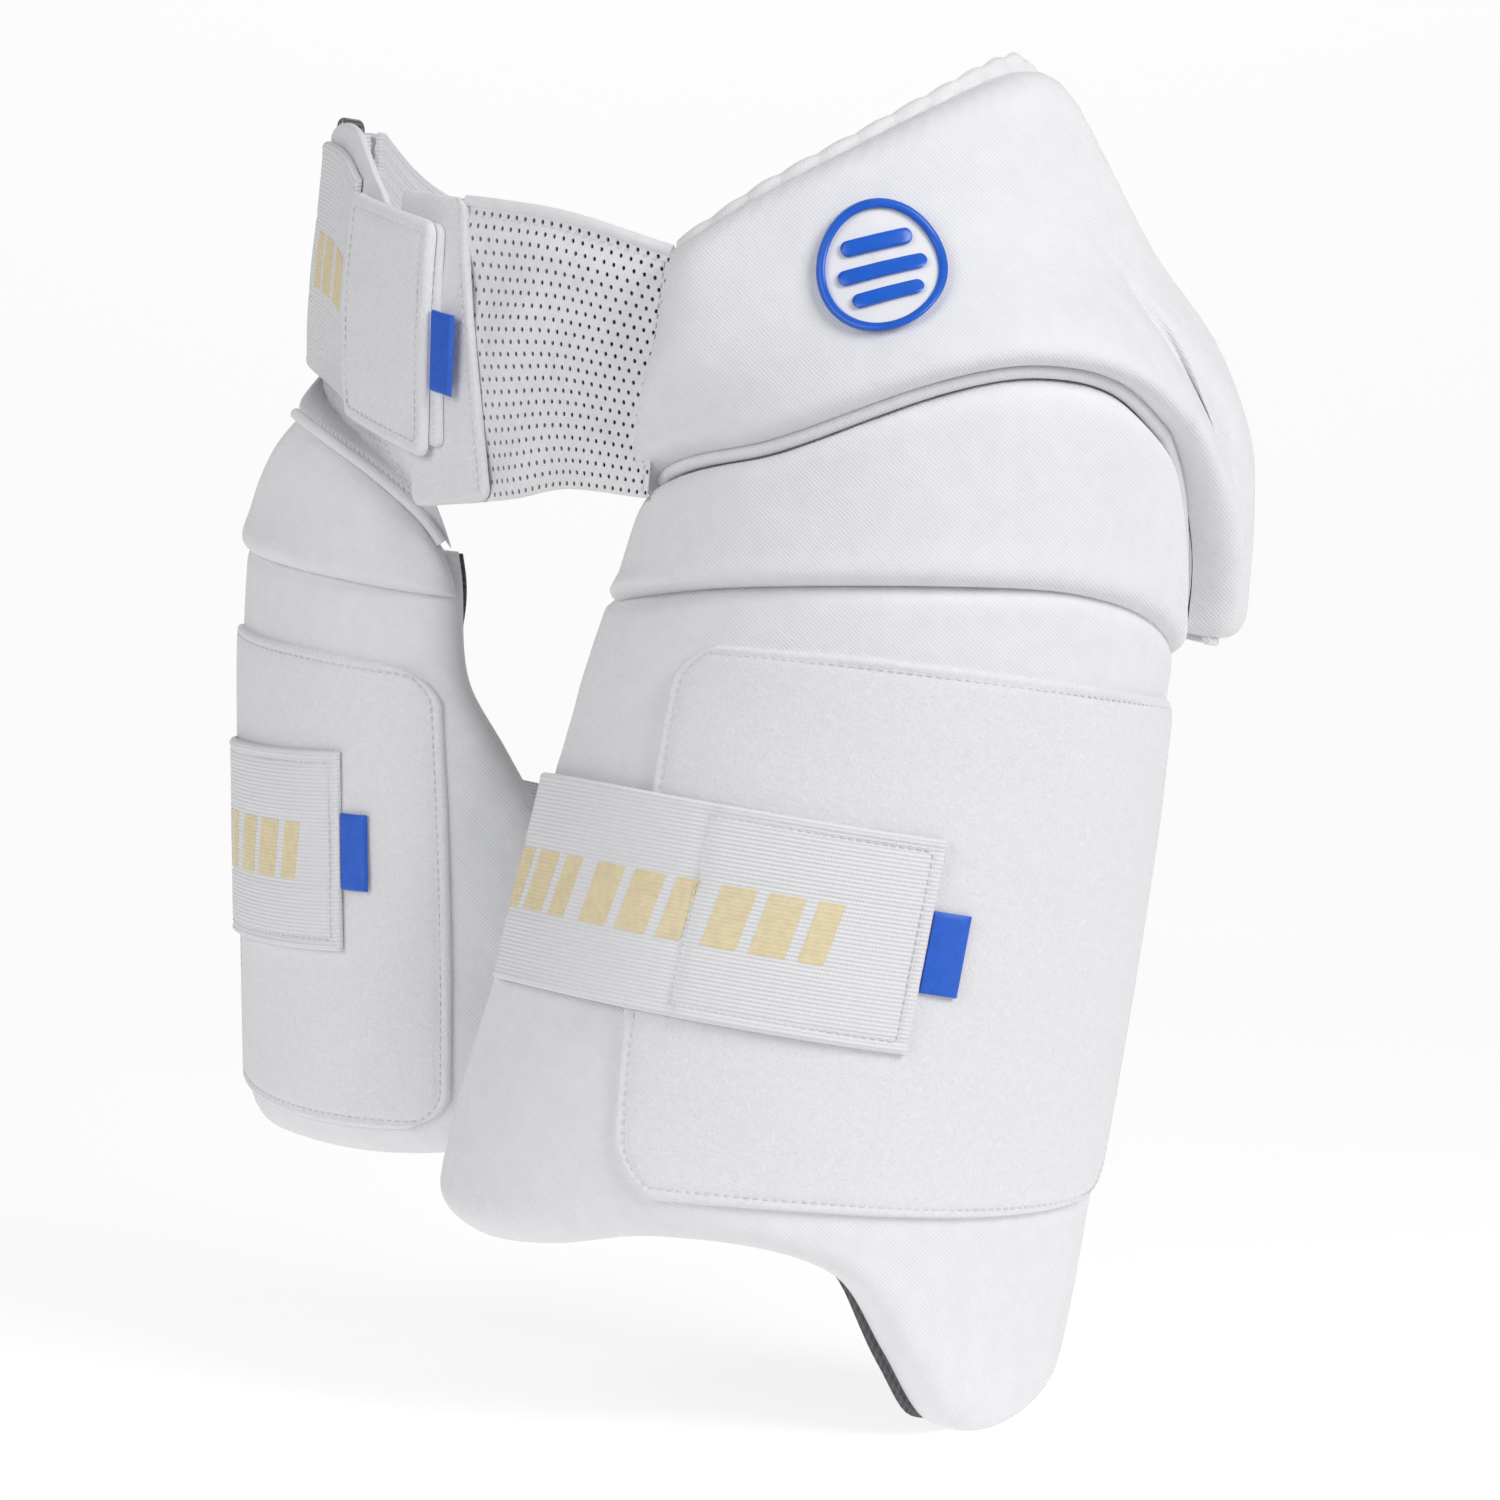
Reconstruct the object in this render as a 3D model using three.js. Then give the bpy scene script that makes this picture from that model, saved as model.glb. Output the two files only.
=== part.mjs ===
// Cricket thigh guard: a waist belt that carries a padded hip guard, a long outer thigh pad
// and a shorter inner thigh pad, each pad with its own elastic leg strap.
// Millimetres, +Z up, the wearer faces -Y and the wearer's left is +X.
// The origin is the middle of the waist loop.
import * as THREE from 'three';

// Waist loop
const WAIST_HALF_WIDTH = 162;
const WAIST_HALF_DEPTH = 113;
const PAD_TURN = THREE.MathUtils.degToRad(35);
const WAIST_TAPER = 0.05;

// Heights of the pieces round the waist
const HIP_HEIGHT = 200;
const FRONT_MESH_HEIGHT = 112;
const BELT_HEIGHT = 90;
const BACK_BELT_HEIGHT = 78;

// Outer thigh, the wearer's left
const OUTER_THIGH_HALF_WIDTH = 96;
const OUTER_THIGH_HALF_DEPTH = 86;
const OUTER_THIGH_X = 65;
const OUTER_THIGH_Y = -55;
const OUTER_THIGH_DROP = 100;
const OUTER_THIGH_LEAN = THREE.MathUtils.degToRad(11.5);
const OUTER_YOKE_HEIGHT = 90;
const OUTER_PAD_LENGTH = 283;
const OUTER_PATCH_LENGTH = 190;

// Inner thigh, the wearer's right
const INNER_THIGH_HALF_WIDTH = 76;
const INNER_THIGH_HALF_DEPTH = 86;
const INNER_THIGH_X = -90;
const INNER_THIGH_Y = 52;
const INNER_THIGH_DROP = 40;
const INNER_THIGH_BACK = THREE.MathUtils.degToRad(5);
const INNER_YOKE_HEIGHT = 60;
const INNER_PAD_LENGTH = 262;
const INNER_PATCH_LENGTH = 183;

// Thicknesses, from the wearer outwards
const LINING_THICKNESS = 2;
const HIP_THICKNESS = 18;
const OUTER_PAD_THICKNESS = 17.5;
const OUTER_TUCK_THICKNESS = 9.5;
const OUTER_YOKE_THICKNESS = 11;
const INNER_PAD_THICKNESS = 14;
const INNER_TUCK_THICKNESS = 9;
const INNER_YOKE_THICKNESS = 7;
const PATCH_THICKNESS = 1.5;
const MESH_THICKNESS = 1.2;
const WEBBING_THICKNESS = 2;
const BELT_END_INSET = 7;
const HIP_GAP = 2.8;
const OUTER_PATCH_GAP = 1;
const TAB_THICKNESS = 2.4;
const LABEL_THICKNESS = 1.2;
const STRAP_WIDTH = 76;
const LABEL_HEIGHT = 29;
const PIPING_RADIUS = 1.7;
const HEM_RADIUS = 2.2;
const SEAM_GAP = 1;
const INNER_SEAM_GAP = 0.45;
const TOUCH_GAP = 0.6;
const LAYER_GAP = 0.7;

// Widths over which the edges of each pad round over, and the share of the thickness left there
const HIP_RIM = { left: 25, right: 12, top: 12, bottom: 12 };
const OUTER_PAD_RIM = { left: 12, right: 12, bottom: 12 };
const OUTER_PATCH_RIM = { top: 15, bottom: 15 };
const INNER_PAD_RIM = { left: 10, right: 12, bottom: 10 };
const INNER_PATCH_RIM = { top: 13, bottom: 13 };
const YOKE_RIM = { left: 8, right: 8, top: 10, bottom: 6 };
const PAD_EDGE = 0.3;
const YOKE_EDGE = 0.35;

// Badge on the hip guard
const BADGE_RADIUS = 23;
const BADGE_THICKNESS = 1.6;
const BADGE_RIM_WIDTH = 2.6;
const BADGE_RIM_HEIGHT = 1.8;
const BADGE_BAR_HEIGHT = 5.4;
const BADGE_BAR_PITCH = 9.4;
const BADGE_BAR_RELIEF = 2;
const BADGE_TILT = THREE.MathUtils.degToRad(14);
const BADGE_ACROSS = 0.282;
const BADGE_DOWN = 0.49;
const BADGE_SECTORS = 20;
const BADGE_BARS = [0.56, 0.7, 0.56];
const BAR_STATIONS = [0, 0.06, 0.2, 0.4, 0.6, 0.8, 0.94, 1];

// Belt ring
const RING_HEIGHT = 100;
const RING_WIDTH = 18;
const RING_WIRE = 3;
const RING_AT = -82;
const RING_OUT = 5;
const RING_MIDDLE = 0.44;
const FOLD_REACH = 4.6;
const FOLD_LEG = 3;
const FOLD_STEPS = 6;

// Perforation of the front mesh
const HOLE_COLUMNS = 8;
const HOLE_ROWS = 11;
const HOLE_SHARE = 0.2;

const WHITE = { color: 0xf3f3f6, roughness: 0.85, metalness: 0 };
const SOFT_WHITE = { color: 0xeaeaee, roughness: 0.95, metalness: 0 };
const MESH_WHITE = { color: 0xe6e6ea, roughness: 0.8, metalness: 0 };
const GREY = { color: 0x5c5f64, roughness: 0.95, metalness: 0 };
const BLUE = { color: 0x0d5bd0, roughness: 0.45, metalness: 0 };
const METAL = { color: 0x6a6d70, roughness: 0.35, metalness: 0.9 };

// Sections of the hip: how far the side swells, as shares of the waist's own half width and
// half depth, at a height that is a share of the hip guard's height.
const HIP_SWELL = [
  { at: -0.575, width: 1.225, depth: 1.05 },
  { at: -0.3, width: 1.235, depth: 1.05 },
  { at: -0.175, width: 1.2, depth: 1.05 },
  { at: -0.04, width: 1.13, depth: 1.04 },
  { at: 0.15, width: 1.0, depth: 1.0 },
  { at: 0.53, width: 0.93, depth: 0.93 },
];

// Sections of each thigh, as shares of its half width, half depth and pad length.
const OUTER_THIGH = [
  { at: -0.32, width: 0.896, depth: 1.07 },
  { at: 0, width: 0.906, depth: 1.047 },
  { at: 0.21, width: 0.958, depth: 1.012 },
  { at: 0.5, width: 1.0, depth: 0.977 },
  { at: 0.92, width: 1.031, depth: 0.919 },
  { at: 1.34, width: 1.031, depth: 0.884 },
];
const INNER_THIGH = [
  { at: -0.23, width: 0.9, depth: 1.0 },
  { at: 0, width: 0.925, depth: 1.012 },
  { at: 0.31, width: 1.0, depth: 1.012 },
  { at: 1.15, width: 1.0, depth: 0.953 },
];

// Every panel is bounded by two tables. Sides gives its left and right edge in degrees round
// the body, by the share of the way down. Ends gives its top and bottom edge as shares of the
// named height, by the share of the way across.
const HIP_SIDES = [
  { at: 0, left: 22.3, right: 110 },
  { at: 0.25, left: 20.5, right: 117 },
  { at: 0.6, left: 18.2, right: 120 },
  { at: 1, left: 16.6, right: 118 },
];
const HIP_ENDS = [
  { at: 0, top: 0.125, bottom: -0.32 },
  { at: 0.04, top: 0.155, bottom: -0.275 },
  { at: 0.14, top: 0.225, bottom: -0.222 },
  { at: 0.32, top: 0.325, bottom: -0.12 },
  { at: 0.43, top: 0.38, bottom: -0.1 },
  { at: 0.55, top: 0.43, bottom: -0.13 },
  { at: 0.62, top: 0.445, bottom: -0.2 },
  { at: 0.66, top: 0.43, bottom: -0.35 },
  { at: 0.7, top: 0.38, bottom: -0.5 },
  { at: 0.8, top: 0.22, bottom: -0.53 },
  { at: 0.92, top: 0.03, bottom: -0.52 },
  { at: 1, top: -0.1, bottom: -0.47 },
];
// How the lower edge of the hip guard follows the yoke: across the hip guard, the share of the way
// along the yoke's upper edge, where shares above one run on down its rear edge, and how far the
// edge stands out as a share of the hip guard's thickness. Past the yoke it runs round the thigh.
const HIP_TO_YOKE = [
  { at: 0, along: 0, lift: 0.5 },
  { at: 0.14, along: 0.28, lift: 0.5 },
  { at: 0.32, along: 0.56, lift: 0.5 },
  { at: 0.43, along: 0.71, lift: 0.5 },
  { at: 0.55, along: 0.9, lift: 0.6 },
  { at: 0.61, along: 1, lift: 0.7 },
  { at: 0.66, along: 1.45, lift: 0.95 },
  { at: 0.7, along: 1.86, lift: 1.05 },
  { at: 0.8, along: 1.86, lift: 1.3 },
  { at: 1, along: 1.86, lift: 1.3 },
];
const HIP_SEAM_REACH = 0.6;
const HIP_LINING_RISE = 0.065;
const HIP_ROWS = [0, 0.03, 0.11, 0.24, 0.37, 0.5, 0.63, 0.76, 0.89, 0.97, 1];
const GUSSET_REACH = 0.5;
const HIP_TAIL_FROM = 0.7;
const YOKE_REAR_END = 1.86;
const HIP_TAIL_AROUND = 112;
const RIM_FROM = 0.73;
const RIM_TO = 0.98;
const RIM_STEPS = 6;
const RIM_LIFT = 0.15;
const HEM_FROM = 0.16;
const HEM_STEPS = 8;

// Under the yoke each pad is tucked thinner, down to the first share and back to full by the second.
const TUCK_FROM = 0.08;
const TUCK_REACH = 0.06;

// The pipings: where they start and end along the yoke's edge, and how far they stand up from
// its underside as a share of its thickness.
const OUTER_CORD = { from: 0.06, to: YOKE_REAR_END, lift: 0.3, points: 18 };
const INNER_CORD = { from: 0, to: 0.97, lift: 0.2, points: 10 };

// Shares of the belt's length: from its hidden end out to the skin, and from there to the ring.
const BELT_END_REACH = 0.2;
const BELT_RING_REACH = 0.1;
const STRAP_RING_REACH = 0.12;
const BELT_END = -252;

const HIP_COLUMNS = [
  0, 0.02, 0.06, 0.14, 0.23, 0.32, 0.4, 0.48, 0.55, 0.59, 0.63, 0.665, 0.7, 0.76, 0.84, 0.92, 0.98, 1,
];

const YOKE_SIDES = [
  { at: 0, left: -58.5, right: 50 },
  { at: 0.15, left: -60.5, right: 57 },
  { at: 0.35, left: -62, right: 64.5 },
  { at: 0.7, left: -64, right: 76.5 },
  { at: 1, left: -65, right: 81 },
];
const YOKE_ENDS = [
  { at: 0, top: -0.2, bottom: 0.2 },
  { at: 0.05, top: -0.33, bottom: 0.15 },
  { at: 0.28, top: -0.51, bottom: 0.0 },
  { at: 0.56, top: -0.86, bottom: -0.16 },
  { at: 0.7, top: -0.975, bottom: -0.2 },
  { at: 0.85, top: -0.985, bottom: -0.16 },
  { at: 1, top: -0.855, bottom: -0.02 },
];

const OUTER_PAD_SIDES = [
  { at: 0, left: -67, right: 95 },
  { at: 0.1, left: -71, right: 102 },
  { at: 0.3, left: -72.5, right: 102 },
  { at: 0.6, left: -77.5, right: 99 },
  { at: 0.85, left: -91, right: 94 },
  { at: 0.95, left: -88, right: 88 },
  { at: 1, left: -74, right: 78 },
];
const OUTER_PAD_ROWS = [0, 0.075, 0.1, 0.14, 0.26, 0.38, 0.5, 0.62, 0.74, 0.85, 0.95, 0.99, 1];
const OUTER_PAD_ENDS = [
  { at: 0, top: 0.0, bottom: 0.88 },
  { at: 0.1, top: -0.007, bottom: 0.882 },
  { at: 0.2, top: -0.035, bottom: 0.865 },
  { at: 0.35, top: -0.073, bottom: 0.82 },
  { at: 0.5, top: -0.105, bottom: 0.805 },
  { at: 0.6, top: -0.125, bottom: 0.83 },
  { at: 0.68, top: -0.133, bottom: 0.91 },
  { at: 0.76, top: -0.13, bottom: 0.985 },
  { at: 0.83, top: -0.115, bottom: 1.0 },
  { at: 0.92, top: -0.083, bottom: 0.975 },
  { at: 1, top: -0.07, bottom: 0.92 },
];
const OUTER_PATCH_SIDES = [
  { at: 0, left: -31, right: 72 },
  { at: 0.03, left: -36, right: 81 },
  { at: 0.08, left: -39, right: 85.5 },
  { at: 0.5, left: -34.5, right: 86 },
  { at: 0.9, left: -29.5, right: 85 },
  { at: 0.96, left: -26, right: 80 },
  { at: 1, left: -20, right: 68 },
];
const OUTER_PATCH_ENDS = [
  { at: 0, top: 0.125, bottom: 1.145 },
  { at: 0.3, top: 0.088, bottom: 1.105 },
  { at: 0.65, top: 0.065, bottom: 1.068 },
  { at: 1, top: 0.062, bottom: 1.03 },
];

const INNER_YOKE_SIDES = [
  { at: 0, left: -50, right: -5 },
  { at: 0.25, left: -60, right: -4 },
  { at: 0.5, left: -69, right: -3 },
  { at: 1, left: -86, right: -2 },
];
const INNER_YOKE_ENDS = [
  { at: 0, top: -0.25, bottom: 0.64 },
  { at: 0.3, top: -0.1, bottom: 0.66 },
  { at: 0.6, top: 0.09, bottom: 0.71 },
  { at: 0.87, top: 0.34, bottom: 0.78 },
  { at: 1, top: 0.54, bottom: 0.81 },
];
const INNER_PAD_SIDES = [
  { at: 0, left: -88, right: -2 },
  { at: 0.05, left: -91, right: -1 },
  { at: 0.22, left: -93, right: 0.5 },
  { at: 0.34, left: -93, right: 10 },
  { at: 0.46, left: -93, right: 19 },
  { at: 0.62, left: -93, right: 28 },
  { at: 0.8, left: -92, right: 32 },
  { at: 0.94, left: -89, right: 30 },
  { at: 1, left: -84, right: 22 },
];
const INNER_PAD_ROWS = [0, 0.08, 0.105, 0.14, 0.25, 0.37, 0.5, 0.65, 0.8, 0.955, 0.99, 1];
const INNER_PAD_ENDS = [
  { at: 0, top: 0.08, bottom: 0.98 },
  { at: 0.15, top: 0.085, bottom: 1.0 },
  { at: 0.3, top: 0.09, bottom: 1.0 },
  { at: 0.6, top: 0.103, bottom: 1.0 },
  { at: 0.85, top: 0.118, bottom: 0.985 },
  { at: 1, top: 0.125, bottom: 0.95 },
];
const INNER_PATCH_SIDES = [
  { at: 0, left: -80, right: -14 },
  { at: 0.03, left: -84, right: -8.5 },
  { at: 0.08, left: -85, right: -5 },
  { at: 0.92, left: -85, right: -4 },
  { at: 0.97, left: -84, right: -7.5 },
  { at: 1, left: -80, right: -14 },
];
const INNER_PATCH_ENDS = [
  { at: 0, top: 0.37, bottom: 1.355 },
  { at: 0.5, top: 0.38, bottom: 1.37 },
  { at: 0.9, top: 0.4, bottom: 1.37 },
  { at: 1, top: 0.41, bottom: 1.365 },
];

const FRONT_MESH_SIDES = [
  { at: 0, left: -15, right: 21.6 },
  { at: 0.4, left: -14, right: 18.6 },
  { at: 1, left: -9, right: 14.8 },
];
const FRONT_MESH_ENDS = [
  { at: 0, top: 0.415, bottom: -0.56 },
  { at: 0.3, top: 0.38, bottom: -0.545 },
  { at: 0.6, top: 0.33, bottom: -0.515 },
  { at: 1, top: 0.215, bottom: -0.545 },
];
const LANDING_SIDES = [
  { at: 0, left: -23, right: -9.6 },
  { at: 1, left: -19, right: -4.8 },
];
const LANDING_ENDS = [
  { at: 0, top: 0.47, bottom: -0.57 },
  { at: 1, top: 0.42, bottom: -0.555 },
];
const SIDE_MESH_SIDES = [
  { at: 0, left: -70, right: -24 },
  { at: 1, left: -69, right: -17 },
];
const SIDE_MESH_ENDS = [
  { at: 0, top: 0.16, bottom: -0.25 },
  { at: 1, top: -0.1, bottom: -0.6 },
];

const RING_SPAN = THREE.MathUtils.radToDeg(
  (RING_WIDTH / 2 - RING_WIRE / 2 + FOLD_LEG + SEAM_GAP) / WAIST_HALF_DEPTH,
);
const STRAP_FROM = RING_AT + RING_SPAN;
const STRAP_SIDES = [
  { at: 0, left: STRAP_FROM, right: -33.8 },
  { at: 1, left: STRAP_FROM, right: -33.2 },
];
const STRAP_ENDS = [
  { at: 0, top: 0.86, bottom: -0.03 },
  { at: 0.4, top: 0.85, bottom: -0.1 },
  { at: 0.7, top: 0.81, bottom: -0.16 },
  { at: 0.87, top: 0.75, bottom: -0.22 },
  { at: 1, top: 0.64, bottom: -0.3 },
];
const UNDERLAY_SIDES = [
  { at: 0, left: STRAP_FROM, right: -32 },
  { at: 0.3, left: STRAP_FROM, right: -25 },
  { at: 1, left: STRAP_FROM, right: -24.5 },
];
const UNDERLAY_ENDS = [
  { at: 0, top: 0.86, bottom: 0.08 },
  { at: 0.6, top: 0.9, bottom: 0.03 },
  { at: 0.85, top: 0.86, bottom: -0.05 },
  { at: 1, top: 0.7, bottom: -0.1 },
];
const TAB_SIDES = [
  { at: 0, left: -32.8, right: -13 },
  { at: 0.5, left: -33, right: -13.4 },
  { at: 1, left: -32.6, right: -14 },
];
const TAB_ENDS = [
  { at: 0, top: 0.594, bottom: -0.33 },
  { at: 1, top: 0.43, bottom: -0.52 },
];
const TAB_BACKING_SIDES = [
  { at: 0, left: -32.6, right: -12.6 },
  { at: 1, left: -32, right: -12.2 },
];
const TAB_BACKING_ENDS = [
  { at: 0, top: 0.57, bottom: -0.3 },
  { at: 1, top: 0.42, bottom: -0.48 },
];
const WAIST_LABEL_SIDES = [
  { at: 0, left: -12.7, right: -8.8 },
  { at: 1, left: -13.1, right: -9.4 },
];
const WAIST_LABEL_ENDS = [
  { at: 0, top: 0.25, bottom: -0.75 },
  { at: 1, top: 0.16, bottom: -0.84 },
];
const BACK_BELT_SIDES = [
  { at: 0, left: BELT_END, right: RING_AT - RING_SPAN },
  { at: 1, left: BELT_END, right: RING_AT - RING_SPAN },
];
const BACK_BELT_ENDS = [
  { at: 0, top: 0.36, bottom: -0.64 },
  { at: 0.25, top: 0.41, bottom: -0.59 },
  { at: 0.5, top: 0.48, bottom: -0.52 },
  { at: 0.78, top: 0.62, bottom: -0.38 },
  { at: 0.9, top: 0.82, bottom: -0.18 },
  { at: 1, top: 1.08, bottom: 0.08 },
];

// The leg straps run from inside the pad's rear edge round the back of the thigh and over the
// pad's front. Out is the level along the strap, as a share of the strap's level on the patch.
const OUTER_STRAP_SIDES = [
  { at: 0, left: -276, right: 16.8 },
  { at: 1, left: -276, right: 16.8 },
];
const OUTER_STRAP_ENDS = [
  { at: 0, top: 1.05, bottom: 2.05 },
  { at: 0.3, top: 1.2, bottom: 2.2 },
  { at: 0.58, top: 1.22, bottom: 2.22 },
  { at: 0.7, top: 1.09, bottom: 2.09 },
  { at: 0.87, top: 1.01, bottom: 2.01 },
  { at: 1, top: 0.965, bottom: 1.965 },
];
const OUTER_STRAP_OUT = [
  { at: 0, out: -0.15 },
  { at: 0.12, out: -0.15 },
  { at: 0.25, out: -0.1 },
  { at: 0.4, out: -0.3 },
  { at: 0.54, out: -0.3 },
  { at: 0.615, out: -0.12 },
  { at: 0.635, out: 0.08 },
  { at: 0.656, out: 0.4 },
  { at: 0.676, out: 0.7 },
  { at: 0.697, out: 0.87 },
  { at: 0.717, out: 1 },
  { at: 1, out: 1 },
];
const OUTER_LABEL_SIDES = [
  { at: 0, left: 17.1, right: 23.8 },
  { at: 1, left: 17.1, right: 23.8 },
];
const OUTER_LABEL_ENDS = [
  { at: 0, top: 3.39, bottom: 4.39 },
  { at: 1, top: 3.38, bottom: 4.38 },
];
const INNER_STRAP_SIDES = [
  { at: 0, left: -333, right: -29.5 },
  { at: 1, left: -333, right: -29.5 },
];
const INNER_STRAP_ENDS = [
  { at: 0, top: 2.0, bottom: 3.0 },
  { at: 0.4, top: 1.95, bottom: 2.95 },
  { at: 0.6, top: 1.75, bottom: 2.75 },
  { at: 0.8, top: 1.5, bottom: 2.5 },
  { at: 1, top: 1.41, bottom: 2.41 },
];
const INNER_STRAP_OUT = [
  { at: 0, out: -0.2 },
  { at: 0.08, out: -0.2 },
  { at: 0.2, out: -0.1 },
  { at: 0.68, out: 0.0 },
  { at: 0.755, out: 0.3 },
  { at: 0.79, out: 0.85 },
  { at: 0.83, out: 1 },
  { at: 1, out: 1 },
];
const INNER_LABEL_SIDES = [
  { at: 0, left: -29.2, right: -22.5 },
  { at: 1, left: -29.2, right: -22.5 },
];
const INNER_LABEL_ENDS = [
  { at: 0, top: 4.5, bottom: 5.5 },
  { at: 1, top: 4.5, bottom: 5.5 },
];

// A smooth reading of one column of a table.
function read(rows, at, column) {
  const last = rows.length - 1;
  let index = 0;
  while (index < last - 1 && at > rows[index + 1].at) index += 1;
  const slope = (k) => {
    const before = rows[Math.max(0, k - 1)];
    const after = rows[Math.min(last, k + 1)];
    return (after[column] - before[column]) / (after.at - before.at);
  };
  const from = rows[index];
  const to = rows[index + 1];
  const span = to.at - from.at;
  const t = THREE.MathUtils.clamp((at - from.at) / span, 0, 1);
  const rise = to[column] - from[column];
  const start = slope(index) * span - rise;
  const end = rise - slope(index + 1) * span;
  return from[column] + rise * t + t * (1 - t) * (start * (1 - t) + end * t);
}

const smooth = (x) => THREE.MathUtils.smoothstep(x, 0, 1);
const mix = THREE.MathUtils.lerp;
const degrees = THREE.MathUtils.degToRad;

// A point of the body at the waist and hip, out from the skin by the given distance.
function onWaist(around, height, out) {
  const side = smooth((Math.sin(degrees(around)) + 0.2) / 1.1);
  const share = THREE.MathUtils.clamp(height / HIP_HEIGHT, -0.575, 0.53);
  const narrow = 1 - WAIST_TAPER * smooth(height / BELT_HEIGHT);
  const width = WAIST_HALF_WIDTH * mix(narrow, read(HIP_SWELL, share, 'width'), side) + out;
  const depth = WAIST_HALF_DEPTH * mix(narrow, read(HIP_SWELL, share, 'depth'), side) + out;
  const x = width * Math.sin(degrees(around));
  const y = -depth * Math.cos(degrees(around));
  return new THREE.Vector3(x, y, height);
}

// A point of a thigh, in the turned frame that the pads face.
function onThigh(sections, size, around, down, out) {
  const share = THREE.MathUtils.clamp(down / size.length, sections[0].at, sections.at(-1).at);
  const width = size.halfWidth * read(sections, share, 'width') + out;
  const depth = size.halfDepth * read(sections, share, 'depth') + out;
  const turn = degrees(around);
  const point = new THREE.Vector3(width * Math.sin(turn), -depth * Math.cos(turn), -down);
  point.applyAxisAngle(new THREE.Vector3(0, 1, 0), size.lean);
  point.applyAxisAngle(new THREE.Vector3(1, 0, 0), size.back);
  return point.add(size.origin);
}

const OUTER_SIZE = {
  length: OUTER_PAD_LENGTH,
  halfWidth: OUTER_THIGH_HALF_WIDTH,
  halfDepth: OUTER_THIGH_HALF_DEPTH,
  lean: OUTER_THIGH_LEAN,
  back: 0,
  origin: new THREE.Vector3(OUTER_THIGH_X, OUTER_THIGH_Y, -OUTER_THIGH_DROP),
};
const INNER_SIZE = {
  length: INNER_PAD_LENGTH,
  halfWidth: INNER_THIGH_HALF_WIDTH,
  halfDepth: INNER_THIGH_HALF_DEPTH,
  lean: 0,
  back: INNER_THIGH_BACK,
  origin: new THREE.Vector3(INNER_THIGH_X, INNER_THIGH_Y, -INNER_THIGH_DROP),
};
const onOuter = (around, down, out) => onThigh(OUTER_THIGH, OUTER_SIZE, around, down, out);
const onInner = (around, down, out) => onThigh(INNER_THIGH, INNER_SIZE, around, down, out);

// Turns a point of a thigh into the frame that the wearer faces.
const worn = (point) => point.applyAxisAngle(new THREE.Vector3(0, 0, 1), PAD_TURN);

// The place of a share across and down a panel that two tables bound.
function bounded(body, sides, ends, height) {
  return (across, down, out) => {
    const around = mix(read(sides, down, 'left'), read(sides, down, 'right'), across);
    const level = mix(read(ends, across, 'top'), read(ends, across, 'bottom'), down) * height;
    return body(around, level, out);
  };
}

// Shares at even steps, with extra ones close to both ends where the edge rounds over.
function stations(count, first, last) {
  const shares = [];
  if (first > 0) shares.push(0, first * 0.25);
  for (let i = 0; i <= count; i += 1) shares.push(mix(first, 1 - last, i / count));
  if (last > 0) shares.push(1 - last * 0.25, 1);
  return shares;
}

function lengthOf(place, from, to) {
  let length = 0;
  let before = place(from[0], from[1], 0);
  const steps = 12;
  for (let i = 1; i <= steps; i += 1) {
    const next = place(mix(from[0], to[0], i / steps), mix(from[1], to[1], i / steps), 0);
    length += next.distanceTo(before);
    before = next;
  }
  return length;
}

function closedGeometry(positions, triangles) {
  const geometry = new THREE.BufferGeometry();
  geometry.setAttribute('position', new THREE.Float32BufferAttribute(positions, 3));
  geometry.setIndex(triangles);
  geometry.computeVertexNormals();
  return geometry;
}

// A panel with a wearer's side and an outer side. The outer side rounds over towards each edge
// within the rim's width, down to the edge's share of the thickness.
function panel({ place, inner, thickness, columns, rows, rim = {}, edge = 1, us = null, vs = null }) {
  const width = lengthOf(place, [0, 0.5], [1, 0.5]);
  const height = lengthOf(place, [0.5, 0], [0.5, 1]);
  const { left = 0, right = 0, top = 0, bottom = 0 } = rim;
  const across = us ?? stations(columns, left / width, right / width);
  const down = vs ?? stations(rows, top / height, bottom / height);
  const swell = (distance, reach) => {
    if (reach <= 0 || distance >= reach) return 1;
    return Math.sqrt(1 - (1 - distance / reach) ** 2);
  };
  const positions = [];
  const put = (u, v, out) => positions.push(...place(u, v, out).toArray());
  for (const v of down) {
    for (const u of across) {
      const round = swell(u * width, left) * swell((1 - u) * width, right)
        * swell(v * height, top) * swell((1 - v) * height, bottom);
      const base = typeof inner === 'function' ? inner(u, v) : inner;
      const full = typeof thickness === 'function' ? thickness(u, v) : thickness;
      put(u, v, base + full * mix(edge, 1, round));
      put(u, v, base);
    }
  }
  const triangles = [];
  const wide = across.length;
  const at = (i, j, side) => 2 * (j * wide + i) + side;
  const quad = (a, b, c, d) => triangles.push(a, b, c, a, c, d);
  for (let j = 0; j < down.length - 1; j += 1) {
    for (let i = 0; i < wide - 1; i += 1) {
      quad(at(i, j, 0), at(i, j + 1, 0), at(i + 1, j + 1, 0), at(i + 1, j, 0));
      quad(at(i, j, 1), at(i + 1, j, 1), at(i + 1, j + 1, 1), at(i, j + 1, 1));
    }
  }
  const far = wide - 1;
  const low = down.length - 1;
  for (let i = 0; i < far; i += 1) {
    quad(at(i, 0, 1), at(i, 0, 0), at(i + 1, 0, 0), at(i + 1, 0, 1));
    quad(at(i, low, 0), at(i, low, 1), at(i + 1, low, 1), at(i + 1, low, 0));
  }
  for (let j = 0; j < low; j += 1) {
    quad(at(0, j, 0), at(0, j, 1), at(0, j + 1, 1), at(0, j + 1, 0));
    quad(at(far, j, 1), at(far, j, 0), at(far, j + 1, 0), at(far, j + 1, 1));
  }
  return closedGeometry(positions, triangles);
}

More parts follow.
